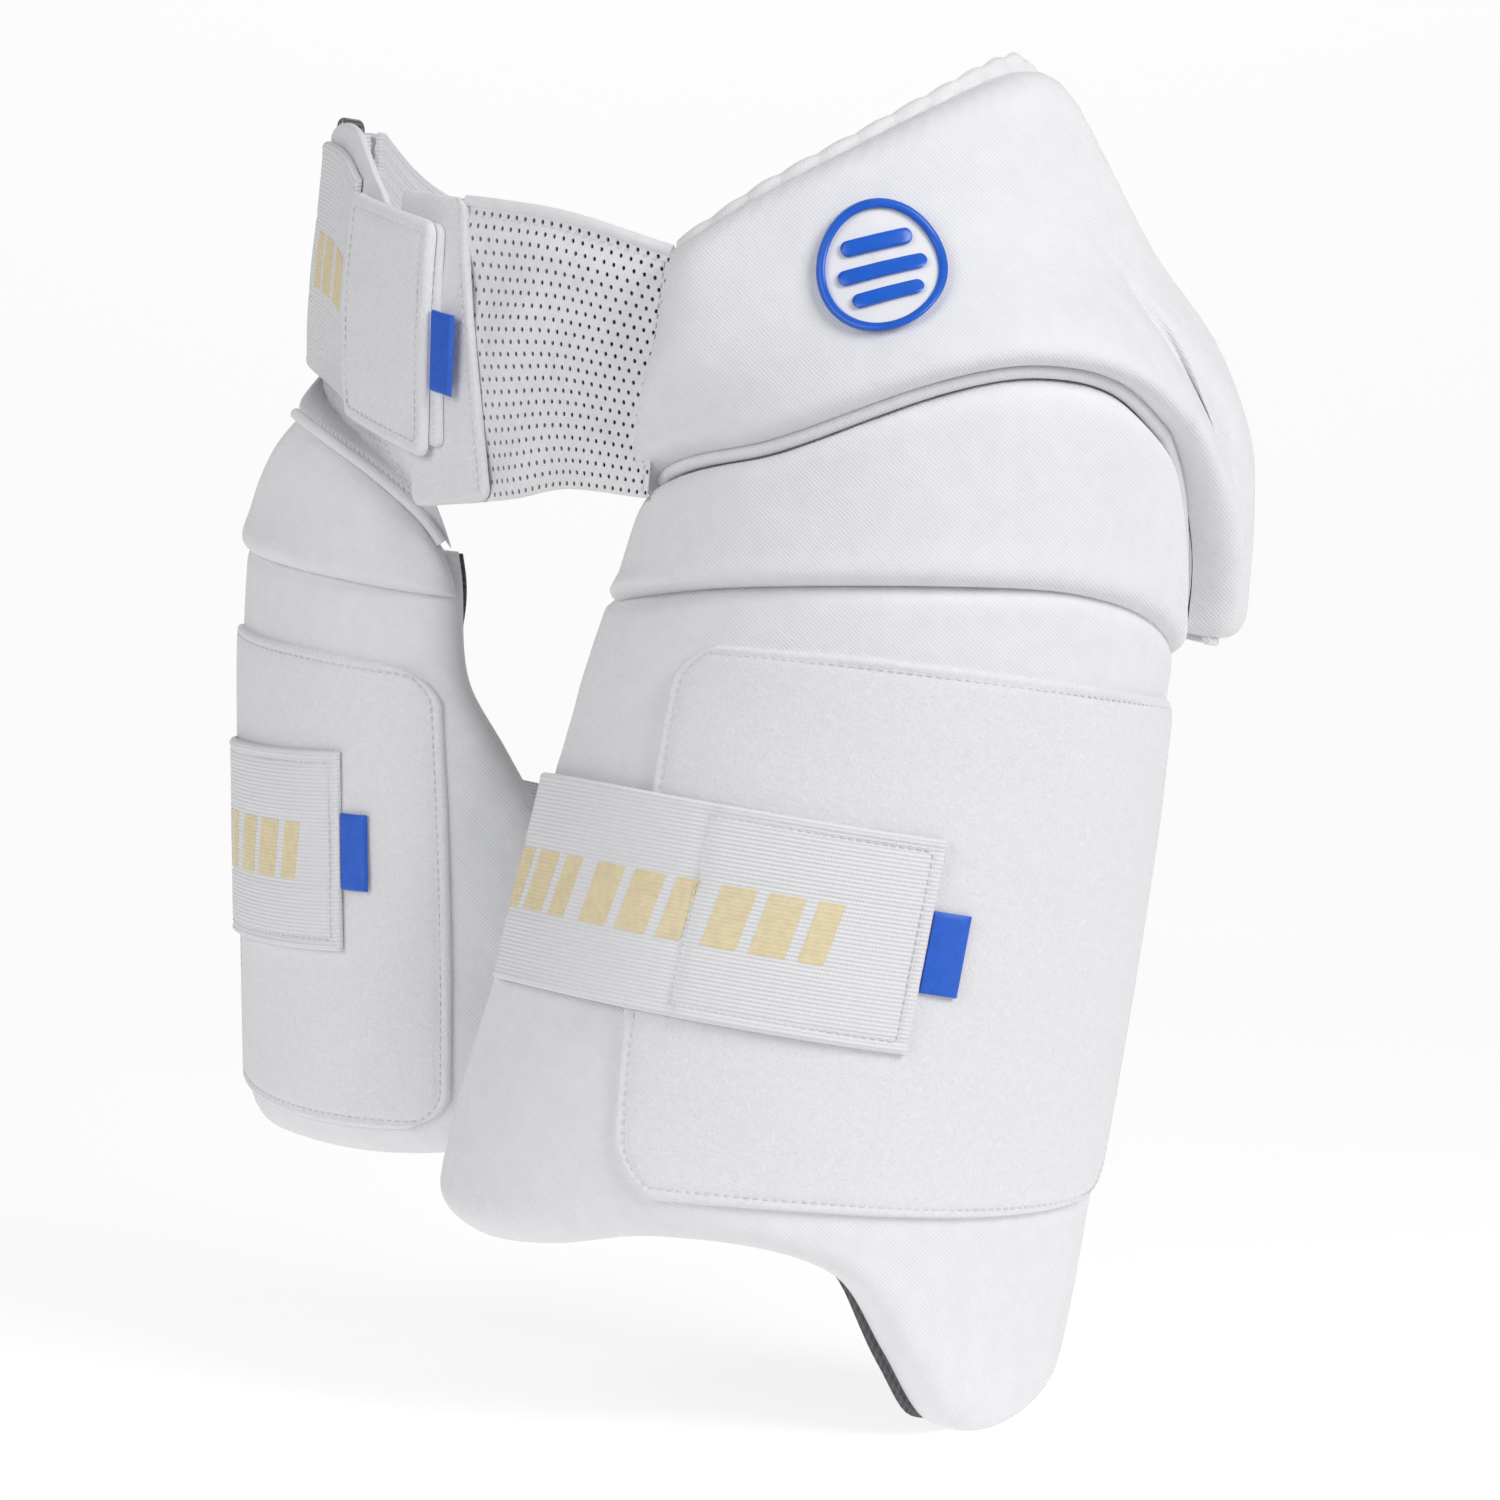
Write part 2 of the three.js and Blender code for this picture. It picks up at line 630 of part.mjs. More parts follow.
// A panel of square cells, each with a four-sided hole through it. Rows are staggered.
function perforated(place, inner, thickness) {
  const positions = [];
  const put = (u, v) => {
    const index = positions.length / 3;
    positions.push(...place(u, v, inner + thickness).toArray());
    positions.push(...place(u, v, inner).toArray());
    return index;
  };
  const corner = [];
  for (let j = 0; j <= HOLE_ROWS; j += 1) {
    const row = [];
    for (let i = 0; i <= HOLE_COLUMNS; i += 1) row.push(put(i / HOLE_COLUMNS, j / HOLE_ROWS));
    corner.push(row);
  }
  const triangles = [];
  const quad = (a, b, c, d) => triangles.push(a, b, c, a, c, d);
  for (let j = 0; j < HOLE_ROWS; j += 1) {
    for (let i = 0; i < HOLE_COLUMNS; i += 1) {
      const shift = j % 2 === 0 ? HOLE_SHARE / 2 : -HOLE_SHARE / 2;
      const hole = [[-1, -1], [-1, 1], [1, 1], [1, -1]].map(([x, y]) => put(
        (i + 0.5 + shift + x * HOLE_SHARE) / HOLE_COLUMNS,
        (j + 0.5 + y * HOLE_SHARE) / HOLE_ROWS,
      ));
      const outline = [corner[j][i], corner[j + 1][i], corner[j + 1][i + 1], corner[j][i + 1]];
      for (let k = 0; k < 4; k += 1) {
        const n = (k + 1) % 4;
        quad(outline[k], outline[n], hole[n], hole[k]);
        quad(outline[n] + 1, outline[k] + 1, hole[k] + 1, hole[n] + 1);
        quad(hole[k], hole[n], hole[n] + 1, hole[k] + 1);
      }
    }
  }
  const wall = (a, b) => quad(a + 1, b + 1, b, a);
  for (let i = 0; i < HOLE_COLUMNS; i += 1) {
    wall(corner[0][i + 1], corner[0][i]);
    wall(corner[HOLE_ROWS][i], corner[HOLE_ROWS][i + 1]);
  }
  for (let j = 0; j < HOLE_ROWS; j += 1) {
    wall(corner[j][0], corner[j + 1][0]);
    wall(corner[j + 1][HOLE_COLUMNS], corner[j][HOLE_COLUMNS]);
  }
  return closedGeometry(positions, triangles);
}

// A round cord of piping along a path of points.
function piping(points, radius, steps) {
  const circle = new THREE.Shape();
  circle.absarc(0, 0, radius, 0, 2 * Math.PI);
  const extrudePath = new THREE.CatmullRomCurve3(points);
  return new THREE.ExtrudeGeometry(circle, { steps, curveSegments: 3, bevelEnabled: false, extrudePath });
}

// A disc, ring or bar that lies on a surface: rings of points from an outline function.
function raised(place, outline, levels, out, thickness, sectors, filled = false) {
  const positions = [];
  const put = (level, sector, lift) => {
    const [x, y] = outline(level, (2 * Math.PI * sector) / sectors);
    positions.push(...place(x, y, out + lift).toArray());
  };
  for (const level of levels) {
    for (let k = 0; k < sectors; k += 1) {
      put(level, k, thickness);
      put(level, k, 0);
    }
  }
  const triangles = [];
  const quad = (a, b, c, d) => triangles.push(a, b, c, a, c, d);
  const at = (l, k, side) => 2 * (l * sectors + (k % sectors)) + side;
  const outerLevel = levels.length - 1;
  for (let k = 0; k < sectors; k += 1) {
    for (let l = 0; l < outerLevel; l += 1) {
      quad(at(l, k, 0), at(l + 1, k, 0), at(l + 1, k + 1, 0), at(l, k + 1, 0));
      quad(at(l, k, 1), at(l, k + 1, 1), at(l + 1, k + 1, 1), at(l + 1, k, 1));
    }
    quad(at(outerLevel, k, 0), at(outerLevel, k, 1), at(outerLevel, k + 1, 1), at(outerLevel, k + 1, 0));
    if (!filled) quad(at(0, k, 0), at(0, k + 1, 0), at(0, k + 1, 1), at(0, k, 1));
  }
  for (let k = 1; filled && k < sectors - 1; k += 1) {
    triangles.push(at(0, 0, 0), at(0, k, 0), at(0, k + 1, 0));
    triangles.push(at(0, 0, 1), at(0, k + 1, 1), at(0, k, 1));
  }
  return closedGeometry(positions, triangles);
}

// Draws the lower edge of a waist piece on to the pad that it is sewn to, fading up the piece.
function sewn(place, seam, reach) {
  return (across, down, out) => {
    const pull = seam(across, out).sub(place(across, 1, out));
    return place(across, down, out).addScaledVector(pull, smooth((down - 1 + reach) / reach));
  };
}

// Levels of the layers, out from the skin
const PAD_BASE = LINING_THICKNESS + LAYER_GAP;
const OUTER_YOKE_BASE = PAD_BASE + OUTER_TUCK_THICKNESS + LAYER_GAP;
const INNER_YOKE_BASE = PAD_BASE + INNER_TUCK_THICKNESS + LAYER_GAP;
const HIP_BASE = PAD_BASE + HIP_GAP;
const OUTER_PATCH_BASE = PAD_BASE + OUTER_PAD_THICKNESS + OUTER_PATCH_GAP;
const INNER_PATCH_BASE = PAD_BASE + INNER_PAD_THICKNESS + LAYER_GAP;
const OUTER_STRAP_BASE = OUTER_PATCH_BASE + PATCH_THICKNESS + LAYER_GAP;
const INNER_STRAP_BASE = INNER_PATCH_BASE + PATCH_THICKNESS + LAYER_GAP;
const LANDING_BASE = 2 * MESH_THICKNESS + LAYER_GAP;
const GUSSET_BASE = LANDING_BASE - TOUCH_GAP - MESH_THICKNESS;
const STRAP_BASE = LANDING_BASE + WEBBING_THICKNESS + LAYER_GAP;
const TAB_BASE = STRAP_BASE + WEBBING_THICKNESS + LAYER_GAP;

const yokePlace = bounded(onOuter, YOKE_SIDES, YOKE_ENDS, OUTER_YOKE_HEIGHT);
const innerYokePlace = bounded(onInner, INNER_YOKE_SIDES, INNER_YOKE_ENDS, INNER_YOKE_HEIGHT);

// A point of a panel's upper edge, where shares above one run on down its right edge.
const edgePoint = (place, along, out) => place(Math.min(along, 1), Math.max(along - 1, 0), out);

// A point beside that edge, the given distance away from the panel.
function beside(place, along, away, out) {
  const reach = 0.02;
  const point = edgePoint(place, along, out);
  const tangent = edgePoint(place, along + reach, out).sub(edgePoint(place, Math.max(along - reach, 0), out));
  const normal = edgePoint(place, along, out + 1).sub(point);
  return point.addScaledVector(normal.cross(tangent).normalize(), away);
}

const CORD_WIDTH = 2 * (PIPING_RADIUS + SEAM_GAP);
const HIP_STAND_OFF = CORD_WIDTH + LAYER_GAP;
const INNER_CORD_WIDTH = 2 * (PIPING_RADIUS + INNER_SEAM_GAP);

function hipSeam(across, out) {
  const along = Math.min(read(HIP_TO_YOKE, across, 'along'), YOKE_REAR_END);
  const lifted = out + HIP_THICKNESS * read(HIP_TO_YOKE, across, 'lift');
  const past = Math.max(0, (across - HIP_TAIL_FROM) / (1 - HIP_TAIL_FROM));
  if (past === 0) return worn(beside(yokePlace, along, HIP_STAND_OFF, lifted));
  const down = YOKE_REAR_END - 1;
  const beyond = THREE.MathUtils.radToDeg(HIP_STAND_OFF / OUTER_THIGH_HALF_WIDTH);
  const start = read(YOKE_SIDES, down, 'right') + beyond;
  const level = mix(read(YOKE_ENDS, 1, 'top'), read(YOKE_ENDS, 1, 'bottom'), down);
  return worn(onOuter(mix(start, HIP_TAIL_AROUND, past), level * OUTER_YOKE_HEIGHT, lifted));
}

const hipPlace = sewn(bounded(onWaist, HIP_SIDES, HIP_ENDS, HIP_HEIGHT), hipSeam, HIP_SEAM_REACH);

const guard = new THREE.Group();
const pads = new THREE.Group();
pads.rotation.z = PAD_TURN;
guard.add(pads);

function add(parent, name, geometry, finish) {
  const mesh = new THREE.Mesh(geometry, new THREE.MeshStandardMaterial(finish));
  mesh.name = name;
  parent.add(mesh);
}

function addHipGuard() {
  const shape = { place: hipPlace, us: HIP_COLUMNS, vs: HIP_ROWS };
  const liningRows = [-HIP_LINING_RISE, ...HIP_ROWS.slice(1)];
  add(guard, 'hip_lining', panel({
    ...shape, vs: liningRows, inner: 0, thickness: LINING_THICKNESS,
  }), SOFT_WHITE);
  add(guard, 'hip_guard', panel({
    ...shape, inner: HIP_BASE, thickness: HIP_THICKNESS, edge: PAD_EDGE, rim: HIP_RIM,
  }), WHITE);
  const rimPoints = [];
  for (let i = 0; i <= RIM_STEPS; i += 1) {
    const across = mix(RIM_FROM, RIM_TO, i / RIM_STEPS);
    const edge = hipPlace(across, 1, PAD_BASE + HIP_THICKNESS * RIM_LIFT);
    rimPoints.push(edge.add(new THREE.Vector3(0, 0, -PIPING_RADIUS - SEAM_GAP)));
  }
  add(guard, 'hip_edge_piping', piping(rimPoints, PIPING_RADIUS, 8), WHITE);
}

// A flat layout in millimetres laid on the hip guard, round the middle of the badge.
function badgeLayout() {
  const out = HIP_BASE + HIP_THICKNESS;
  const nudge = 0.002;
  const centre = hipPlace(BADGE_ACROSS, BADGE_DOWN, out);
  const stepsAt = (across, down) => {
    const point = hipPlace(across, down, out);
    const acrossStep = hipPlace(across + nudge, down, out).sub(point).divideScalar(nudge);
    const downStep = hipPlace(across, down + nudge, out).sub(point).divideScalar(nudge);
    return { point, acrossStep, downStep };
  };
  const first = stepsAt(BADGE_ACROSS, BADGE_DOWN);
  const normal = first.downStep.clone().cross(first.acrossStep).normalize();
  const level = new THREE.Vector3(0, 0, 1).cross(normal).normalize();
  const up = normal.clone().cross(level);
  return (x, y, lift) => {
    let across = BADGE_ACROSS;
    let down = BADGE_DOWN;
    for (let i = 0; i < 6; i += 1) {
      const { point, acrossStep, downStep } = stepsAt(across, down);
      const away = point.sub(centre);
      const missX = x - away.dot(level);
      const missY = y - away.dot(up);
      const a = acrossStep.dot(level);
      const b = downStep.dot(level);
      const c = acrossStep.dot(up);
      const d = downStep.dot(up);
      across += (d * missX - b * missY) / (a * d - b * c);
      down += (a * missY - c * missX) / (a * d - b * c);
    }
    return hipPlace(across, down, out + lift);
  };
}

function addBadge() {
  const place = badgeLayout();
  const disc = (level, angle) => [
    BADGE_RADIUS * level * Math.cos(angle),
    BADGE_RADIUS * level * Math.sin(angle),
  ];
  const inside = 1 - BADGE_RIM_WIDTH / BADGE_RADIUS;
  const rimBase = LAYER_GAP + BADGE_THICKNESS + LAYER_GAP;
  add(guard, 'hip_badge', raised(
    place, disc, [0.02, 0.5, 1], LAYER_GAP, BADGE_THICKNESS, BADGE_SECTORS, true,
  ), WHITE);
  add(guard, 'badge_rim', raised(place, disc, [inside, 1], rimBase, BADGE_RIM_HEIGHT, BADGE_SECTORS), BLUE);
  BADGE_BARS.forEach((share, index) => {
    const half = BADGE_RADIUS * share;
    const middle = (1 - index) * BADGE_BAR_PITCH;
    const bar = (x, y, lift) => {
      const turnedX = x * Math.cos(BADGE_TILT) - (y + middle) * Math.sin(BADGE_TILT);
      const turnedY = x * Math.sin(BADGE_TILT) + (y + middle) * Math.cos(BADGE_TILT);
      return place(turnedX, turnedY, lift);
    };
    add(guard, `badge_bar_${index + 1}`, barGeometry(bar, half, BADGE_BAR_HEIGHT / 2, rimBase), BLUE);
  });
}

// A bar with round ends, laid on a surface.
function barGeometry(place, halfLength, halfHeight, out) {
  const bar = (across, down, lift) => {
    const x = (2 * across - 1) * halfLength;
    const intoEnd = Math.max(0, Math.abs(x) - halfLength + halfHeight) / halfHeight;
    const half = halfHeight * Math.max(0.4, Math.sqrt(1 - Math.min(1, intoEnd) ** 2));
    return place(x, (1 - 2 * down) * half, lift);
  };
  return panel({ place: bar, inner: out, thickness: BADGE_BAR_RELIEF, us: BAR_STATIONS, rows: 2 });
}

function addWaist() {
  const meshPlace = bounded(onWaist, FRONT_MESH_SIDES, FRONT_MESH_ENDS, FRONT_MESH_HEIGHT);
  add(guard, 'front_mesh_panel', perforated(meshPlace, MESH_THICKNESS, MESH_THICKNESS), MESH_WHITE);
  const hemPoints = [];
  for (let i = 0; i <= HEM_STEPS; i += 1) {
    const across = mix(HEM_FROM, 1, i / HEM_STEPS);
    const top = meshPlace(across, 0, MESH_THICKNESS * 1.5);
    hemPoints.push(top.add(new THREE.Vector3(0, 0, HEM_RADIUS + TOUCH_GAP)));
  }
  add(guard, 'mesh_top_hem', piping(hemPoints, HEM_RADIUS, 8), MESH_WHITE);
  const landing = bounded(onWaist, LANDING_SIDES, LANDING_ENDS, FRONT_MESH_HEIGHT);
  add(guard, 'landing_strip', panel({
    place: landing, inner: LANDING_BASE, thickness: WEBBING_THICKNESS, columns: 3, rows: 8,
  }), SOFT_WHITE);
  const gusset = bounded(onWaist, SIDE_MESH_SIDES, SIDE_MESH_ENDS, FRONT_MESH_HEIGHT);
  const level = INNER_YOKE_BASE + TOUCH_GAP - GUSSET_BASE;
  const yokeTop = (across, out) => worn(beside(innerYokePlace, across, INNER_CORD_WIDTH, out + level));
  add(guard, 'side_mesh_panel', panel({
    place: sewn(gusset, yokeTop, GUSSET_REACH), inner: GUSSET_BASE, thickness: MESH_THICKNESS,
    columns: 9, rows: 6,
  }), MESH_WHITE);
  const under = bounded(onWaist, UNDERLAY_SIDES, UNDERLAY_ENDS, BELT_HEIGHT);
  const nearRing = (u) => 1 - smooth(u / STRAP_RING_REACH);
  add(guard, 'belt_underlay', panel({
    place: under, inner: (u) => mix(LANDING_BASE, RING_OUT - FOLD_REACH, nearRing(u)),
    thickness: WEBBING_THICKNESS, columns: 10, rows: 3,
  }), SOFT_WHITE);
  const strap = bounded(onWaist, STRAP_SIDES, STRAP_ENDS, BELT_HEIGHT);
  add(guard, 'waist_strap', panel({
    place: strap, inner: (u) => mix(STRAP_BASE, RING_OUT + FOLD_REACH - WEBBING_THICKNESS, nearRing(u)),
    thickness: WEBBING_THICKNESS, columns: 10, rows: 3,
  }), WHITE);
  const backing = bounded(onWaist, TAB_BACKING_SIDES, TAB_BACKING_ENDS, BELT_HEIGHT);
  add(guard, 'waist_tab_backing', panel({
    place: backing, inner: STRAP_BASE, thickness: WEBBING_THICKNESS, columns: 4, rows: 4,
  }), SOFT_WHITE);
  const tab = bounded(onWaist, TAB_SIDES, TAB_ENDS, BELT_HEIGHT);
  add(guard, 'waist_tab', panel({
    place: tab, inner: TAB_BASE, thickness: TAB_THICKNESS, columns: 4, rows: 4,
  }), SOFT_WHITE);
  const label = bounded(onWaist, WAIST_LABEL_SIDES, WAIST_LABEL_ENDS, LABEL_HEIGHT);
  add(guard, 'waist_label', panel({
    place: label, inner: TAB_BASE, thickness: LABEL_THICKNESS, columns: 2, rows: 3,
  }), BLUE);
  const beltOut = (u) => {
    const behind = mix(-WEBBING_THICKNESS - BELT_END_INSET, WEBBING_THICKNESS, smooth(u / BELT_END_REACH));
    return mix(behind, RING_OUT - FOLD_REACH, smooth((u - 1 + BELT_RING_REACH) / BELT_RING_REACH));
  };
  const belt = bounded(onWaist, BACK_BELT_SIDES, BACK_BELT_ENDS, BACK_BELT_HEIGHT);
  add(guard, 'back_belt', panel({
    place: belt, inner: beltOut, thickness: WEBBING_THICKNESS, columns: 20, rows: 2,
  }), WHITE);
}

// The ring stands on edge in the belt, and the strap and the back belt each fold round a bar.
function addRing() {
  const middle = RING_MIDDLE * BELT_HEIGHT;
  const ring = new THREE.Group();
  ring.position.copy(onWaist(RING_AT, middle, RING_OUT));
  ring.rotation.z = degrees(RING_AT);
  guard.add(ring);
  const frame = new THREE.Shape();
  frame.moveTo(-RING_WIDTH / 2, -RING_HEIGHT / 2);
  frame.lineTo(RING_WIDTH / 2, -RING_HEIGHT / 2);
  frame.lineTo(RING_WIDTH / 2, RING_HEIGHT / 2);
  frame.lineTo(-RING_WIDTH / 2, RING_HEIGHT / 2);
  const hole = new THREE.Path();
  hole.moveTo(-RING_WIDTH / 2 + RING_WIRE, -RING_HEIGHT / 2 + RING_WIRE);
  hole.lineTo(-RING_WIDTH / 2 + RING_WIRE, RING_HEIGHT / 2 - RING_WIRE);
  hole.lineTo(RING_WIDTH / 2 - RING_WIRE, RING_HEIGHT / 2 - RING_WIRE);
  hole.lineTo(RING_WIDTH / 2 - RING_WIRE, -RING_HEIGHT / 2 + RING_WIRE);
  frame.holes.push(hole);
  const wire = new THREE.ExtrudeGeometry(frame, { depth: RING_WIRE, bevelEnabled: false });
  wire.translate(0, 0, -RING_WIRE / 2);
  wire.rotateX(Math.PI / 2);
  add(ring, 'belt_ring', wire, METAL);
  const bar = RING_WIDTH / 2 - RING_WIRE / 2;
  addFold(ring, 'strap_fold', bar, 1, STRAP_ENDS[0], BELT_HEIGHT, middle);
  addFold(ring, 'back_belt_fold', -bar, -1, BACK_BELT_ENDS.at(-1), BACK_BELT_HEIGHT, middle);
}

// Webbing folded round one bar: open towards the belt, as tall as the belt's end.
function addFold(ring, name, bar, side, end, height, middle) {
  const outer = FOLD_REACH;
  const inner = FOLD_REACH - WEBBING_THICKNESS;
  const points = [new THREE.Vector2(bar + side * FOLD_LEG, -outer)];
  for (const [radius, turn] of [[outer, -1], [inner, 1]]) {
    for (let i = 0; i <= FOLD_STEPS; i += 1) {
      const angle = turn * (i / FOLD_STEPS - 0.5) * Math.PI;
      const x = bar - side * radius * Math.cos(angle);
      points.push(new THREE.Vector2(x, -radius * Math.sin(angle)));
    }
    points.push(new THREE.Vector2(bar + side * FOLD_LEG, turn === -1 ? outer : -inner));
    if (turn === -1) points.push(new THREE.Vector2(bar + side * FOLD_LEG, inner));
  }
  const outline = new THREE.Shape(points);
  const tall = (end.top - end.bottom) * height;
  const fold = new THREE.ExtrudeGeometry(outline, { depth: tall, bevelEnabled: false });
  fold.translate(0, 0, end.bottom * height - middle);
  add(ring, name, fold, WHITE);
}

// The thickness of a pad that is tucked thinner under its yoke.
const tucked = (thin, full, down) => mix(thin, full, smooth((down - TUCK_FROM) / TUCK_REACH));

// Points along a yoke's upper edge for the piping that is sewn beside it.
function cordBeside(place, run, away, level) {
  const points = [];
  for (let i = 0; i <= run.points; i += 1) {
    points.push(beside(place, mix(run.from, run.to, i / run.points), away, level));
  }
  return points;
}

function addOuterThigh() {
  const padPlace = bounded(onOuter, OUTER_PAD_SIDES, OUTER_PAD_ENDS, OUTER_PAD_LENGTH);
  const patchPlace = bounded(onOuter, OUTER_PATCH_SIDES, OUTER_PATCH_ENDS, OUTER_PATCH_LENGTH);
  const tuck = (u, v) => tucked(OUTER_TUCK_THICKNESS, OUTER_PAD_THICKNESS, v);
  const shape = { place: padPlace, columns: 11, vs: OUTER_PAD_ROWS, rim: OUTER_PAD_RIM };
  add(pads, 'outer_lining', panel({ ...shape, inner: 0, thickness: LINING_THICKNESS }), GREY);
  add(pads, 'outer_pad', panel({ ...shape, inner: PAD_BASE, thickness: tuck, edge: PAD_EDGE }), WHITE);
  add(pads, 'outer_yoke', panel({
    place: yokePlace, inner: OUTER_YOKE_BASE, thickness: OUTER_YOKE_THICKNESS, columns: 12, rows: 3,
    edge: YOKE_EDGE, rim: YOKE_RIM,
  }), WHITE);
  const level = OUTER_YOKE_BASE + OUTER_YOKE_THICKNESS * OUTER_CORD.lift;
  const cord = cordBeside(yokePlace, OUTER_CORD, CORD_WIDTH / 2, level);
  add(pads, 'thigh_piping', piping(cord, PIPING_RADIUS, 24), WHITE);
  add(pads, 'outer_loop_patch', panel({
    place: patchPlace, inner: OUTER_PATCH_BASE, thickness: PATCH_THICKNESS, columns: 14, rows: 6,
    rim: OUTER_PATCH_RIM,
  }), SOFT_WHITE);
  const strapPlace = bounded(onOuter, OUTER_STRAP_SIDES, OUTER_STRAP_ENDS, STRAP_WIDTH);
  add(pads, 'outer_strap', panel({
    place: strapPlace, inner: (u) => read(OUTER_STRAP_OUT, u, 'out') * OUTER_STRAP_BASE,
    thickness: WEBBING_THICKNESS, columns: 34, rows: 2,
  }), WHITE);
  const labelPlace = bounded(onOuter, OUTER_LABEL_SIDES, OUTER_LABEL_ENDS, LABEL_HEIGHT);
  add(pads, 'outer_label', panel({
    place: labelPlace, inner: OUTER_STRAP_BASE, thickness: LABEL_THICKNESS, columns: 2, rows: 2,
  }), BLUE);
}

function addInnerThigh() {
  const padPlace = bounded(onInner, INNER_PAD_SIDES, INNER_PAD_ENDS, INNER_PAD_LENGTH);
  const patchPlace = bounded(onInner, INNER_PATCH_SIDES, INNER_PATCH_ENDS, INNER_PATCH_LENGTH);
  const tuck = (u, v) => tucked(INNER_TUCK_THICKNESS, INNER_PAD_THICKNESS, v);
  const shape = { place: padPlace, columns: 8, vs: INNER_PAD_ROWS, rim: INNER_PAD_RIM };
  add(pads, 'inner_lining', panel({ ...shape, inner: 0, thickness: LINING_THICKNESS }), GREY);
  add(pads, 'inner_pad', panel({ ...shape, inner: PAD_BASE, thickness: tuck, edge: PAD_EDGE }), WHITE);
  add(pads, 'inner_yoke', panel({
    place: innerYokePlace, inner: INNER_YOKE_BASE, thickness: INNER_YOKE_THICKNESS, columns: 8, rows: 3,
    edge: YOKE_EDGE, rim: YOKE_RIM,
  }), WHITE);
  const level = INNER_YOKE_BASE + INNER_YOKE_THICKNESS * INNER_CORD.lift;
  const cord = cordBeside(innerYokePlace, INNER_CORD, INNER_CORD_WIDTH / 2, level);
  add(pads, 'inner_piping', piping(cord, PIPING_RADIUS, 14), WHITE);
  add(pads, 'inner_loop_patch', panel({
    place: patchPlace, inner: INNER_PATCH_BASE, thickness: PATCH_THICKNESS, columns: 9, rows: 6,
    rim: INNER_PATCH_RIM,
  }), SOFT_WHITE);
  const strapPlace = bounded(onInner, INNER_STRAP_SIDES, INNER_STRAP_ENDS, STRAP_WIDTH);
  add(pads, 'inner_strap', panel({
    place: strapPlace, inner: (u) => read(INNER_STRAP_OUT, u, 'out') * INNER_STRAP_BASE,
    thickness: WEBBING_THICKNESS, columns: 32, rows: 2,
  }), WHITE);
  const labelPlace = bounded(onInner, INNER_LABEL_SIDES, INNER_LABEL_ENDS, LABEL_HEIGHT);
  add(pads, 'inner_label', panel({
    place: labelPlace, inner: INNER_STRAP_BASE, thickness: LABEL_THICKNESS, columns: 2, rows: 2,
  }), BLUE);
}

addHipGuard();
addBadge();
addWaist();
addRing();
addOuterThigh();
addInnerThigh();

export default guard;
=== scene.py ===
# Looks for a cricket thigh guard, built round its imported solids: padded covers, perforated mesh,
# ribbed elastic, brushed loop cloth, stitching, piping and moulded badge.
# The scene is in metres. Sizes below are millimetres and shares, as the solids have them.
import math

import bpy
import numpy as np
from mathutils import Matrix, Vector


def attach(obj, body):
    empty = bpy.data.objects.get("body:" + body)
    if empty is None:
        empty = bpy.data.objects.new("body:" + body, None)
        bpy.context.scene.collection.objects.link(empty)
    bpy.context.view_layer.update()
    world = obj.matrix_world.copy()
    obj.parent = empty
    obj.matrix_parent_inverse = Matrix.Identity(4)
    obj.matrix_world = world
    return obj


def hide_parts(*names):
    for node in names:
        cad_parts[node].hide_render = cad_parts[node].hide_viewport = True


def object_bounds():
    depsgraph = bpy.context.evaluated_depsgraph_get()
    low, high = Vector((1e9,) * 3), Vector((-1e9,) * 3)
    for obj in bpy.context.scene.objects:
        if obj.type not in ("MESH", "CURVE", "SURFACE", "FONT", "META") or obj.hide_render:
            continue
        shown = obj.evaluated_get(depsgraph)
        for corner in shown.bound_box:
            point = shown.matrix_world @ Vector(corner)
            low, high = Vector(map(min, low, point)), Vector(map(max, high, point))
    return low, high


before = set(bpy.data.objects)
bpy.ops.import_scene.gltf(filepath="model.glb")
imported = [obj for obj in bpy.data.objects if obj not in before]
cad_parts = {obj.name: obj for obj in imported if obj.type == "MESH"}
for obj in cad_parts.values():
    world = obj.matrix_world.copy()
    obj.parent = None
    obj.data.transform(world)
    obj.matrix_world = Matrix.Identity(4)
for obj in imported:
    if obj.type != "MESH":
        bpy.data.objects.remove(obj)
cad_low, cad_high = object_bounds()
MM = 0.001

# Waist, hip and thighs, as in the solids
WAIST_HALF_WIDTH = 162
WAIST_HALF_DEPTH = 113
PAD_TURN = math.radians(35)
WAIST_TAPER = 0.05
HIP_HEIGHT = 200
FRONT_MESH_HEIGHT = 112
BELT_HEIGHT = 90
BACK_BELT_HEIGHT = 78
OUTER_YOKE_HEIGHT = 90
OUTER_PAD_LENGTH = 283
OUTER_PATCH_LENGTH = 190
INNER_YOKE_HEIGHT = 60
INNER_PAD_LENGTH = 262
INNER_PATCH_LENGTH = 183
OUTER_THIGH_HALF_WIDTH = 96
STRAP_WIDTH = 76
LABEL_HEIGHT = 29
OUTER_SIZE = dict(length=OUTER_PAD_LENGTH, half_width=96, half_depth=86, lean=math.radians(11.5), back=0,
                  origin=(65, -55, -100))
INNER_SIZE = dict(length=INNER_PAD_LENGTH, half_width=76, half_depth=86, lean=0, back=math.radians(5),
                  origin=(-90, 52, -40))

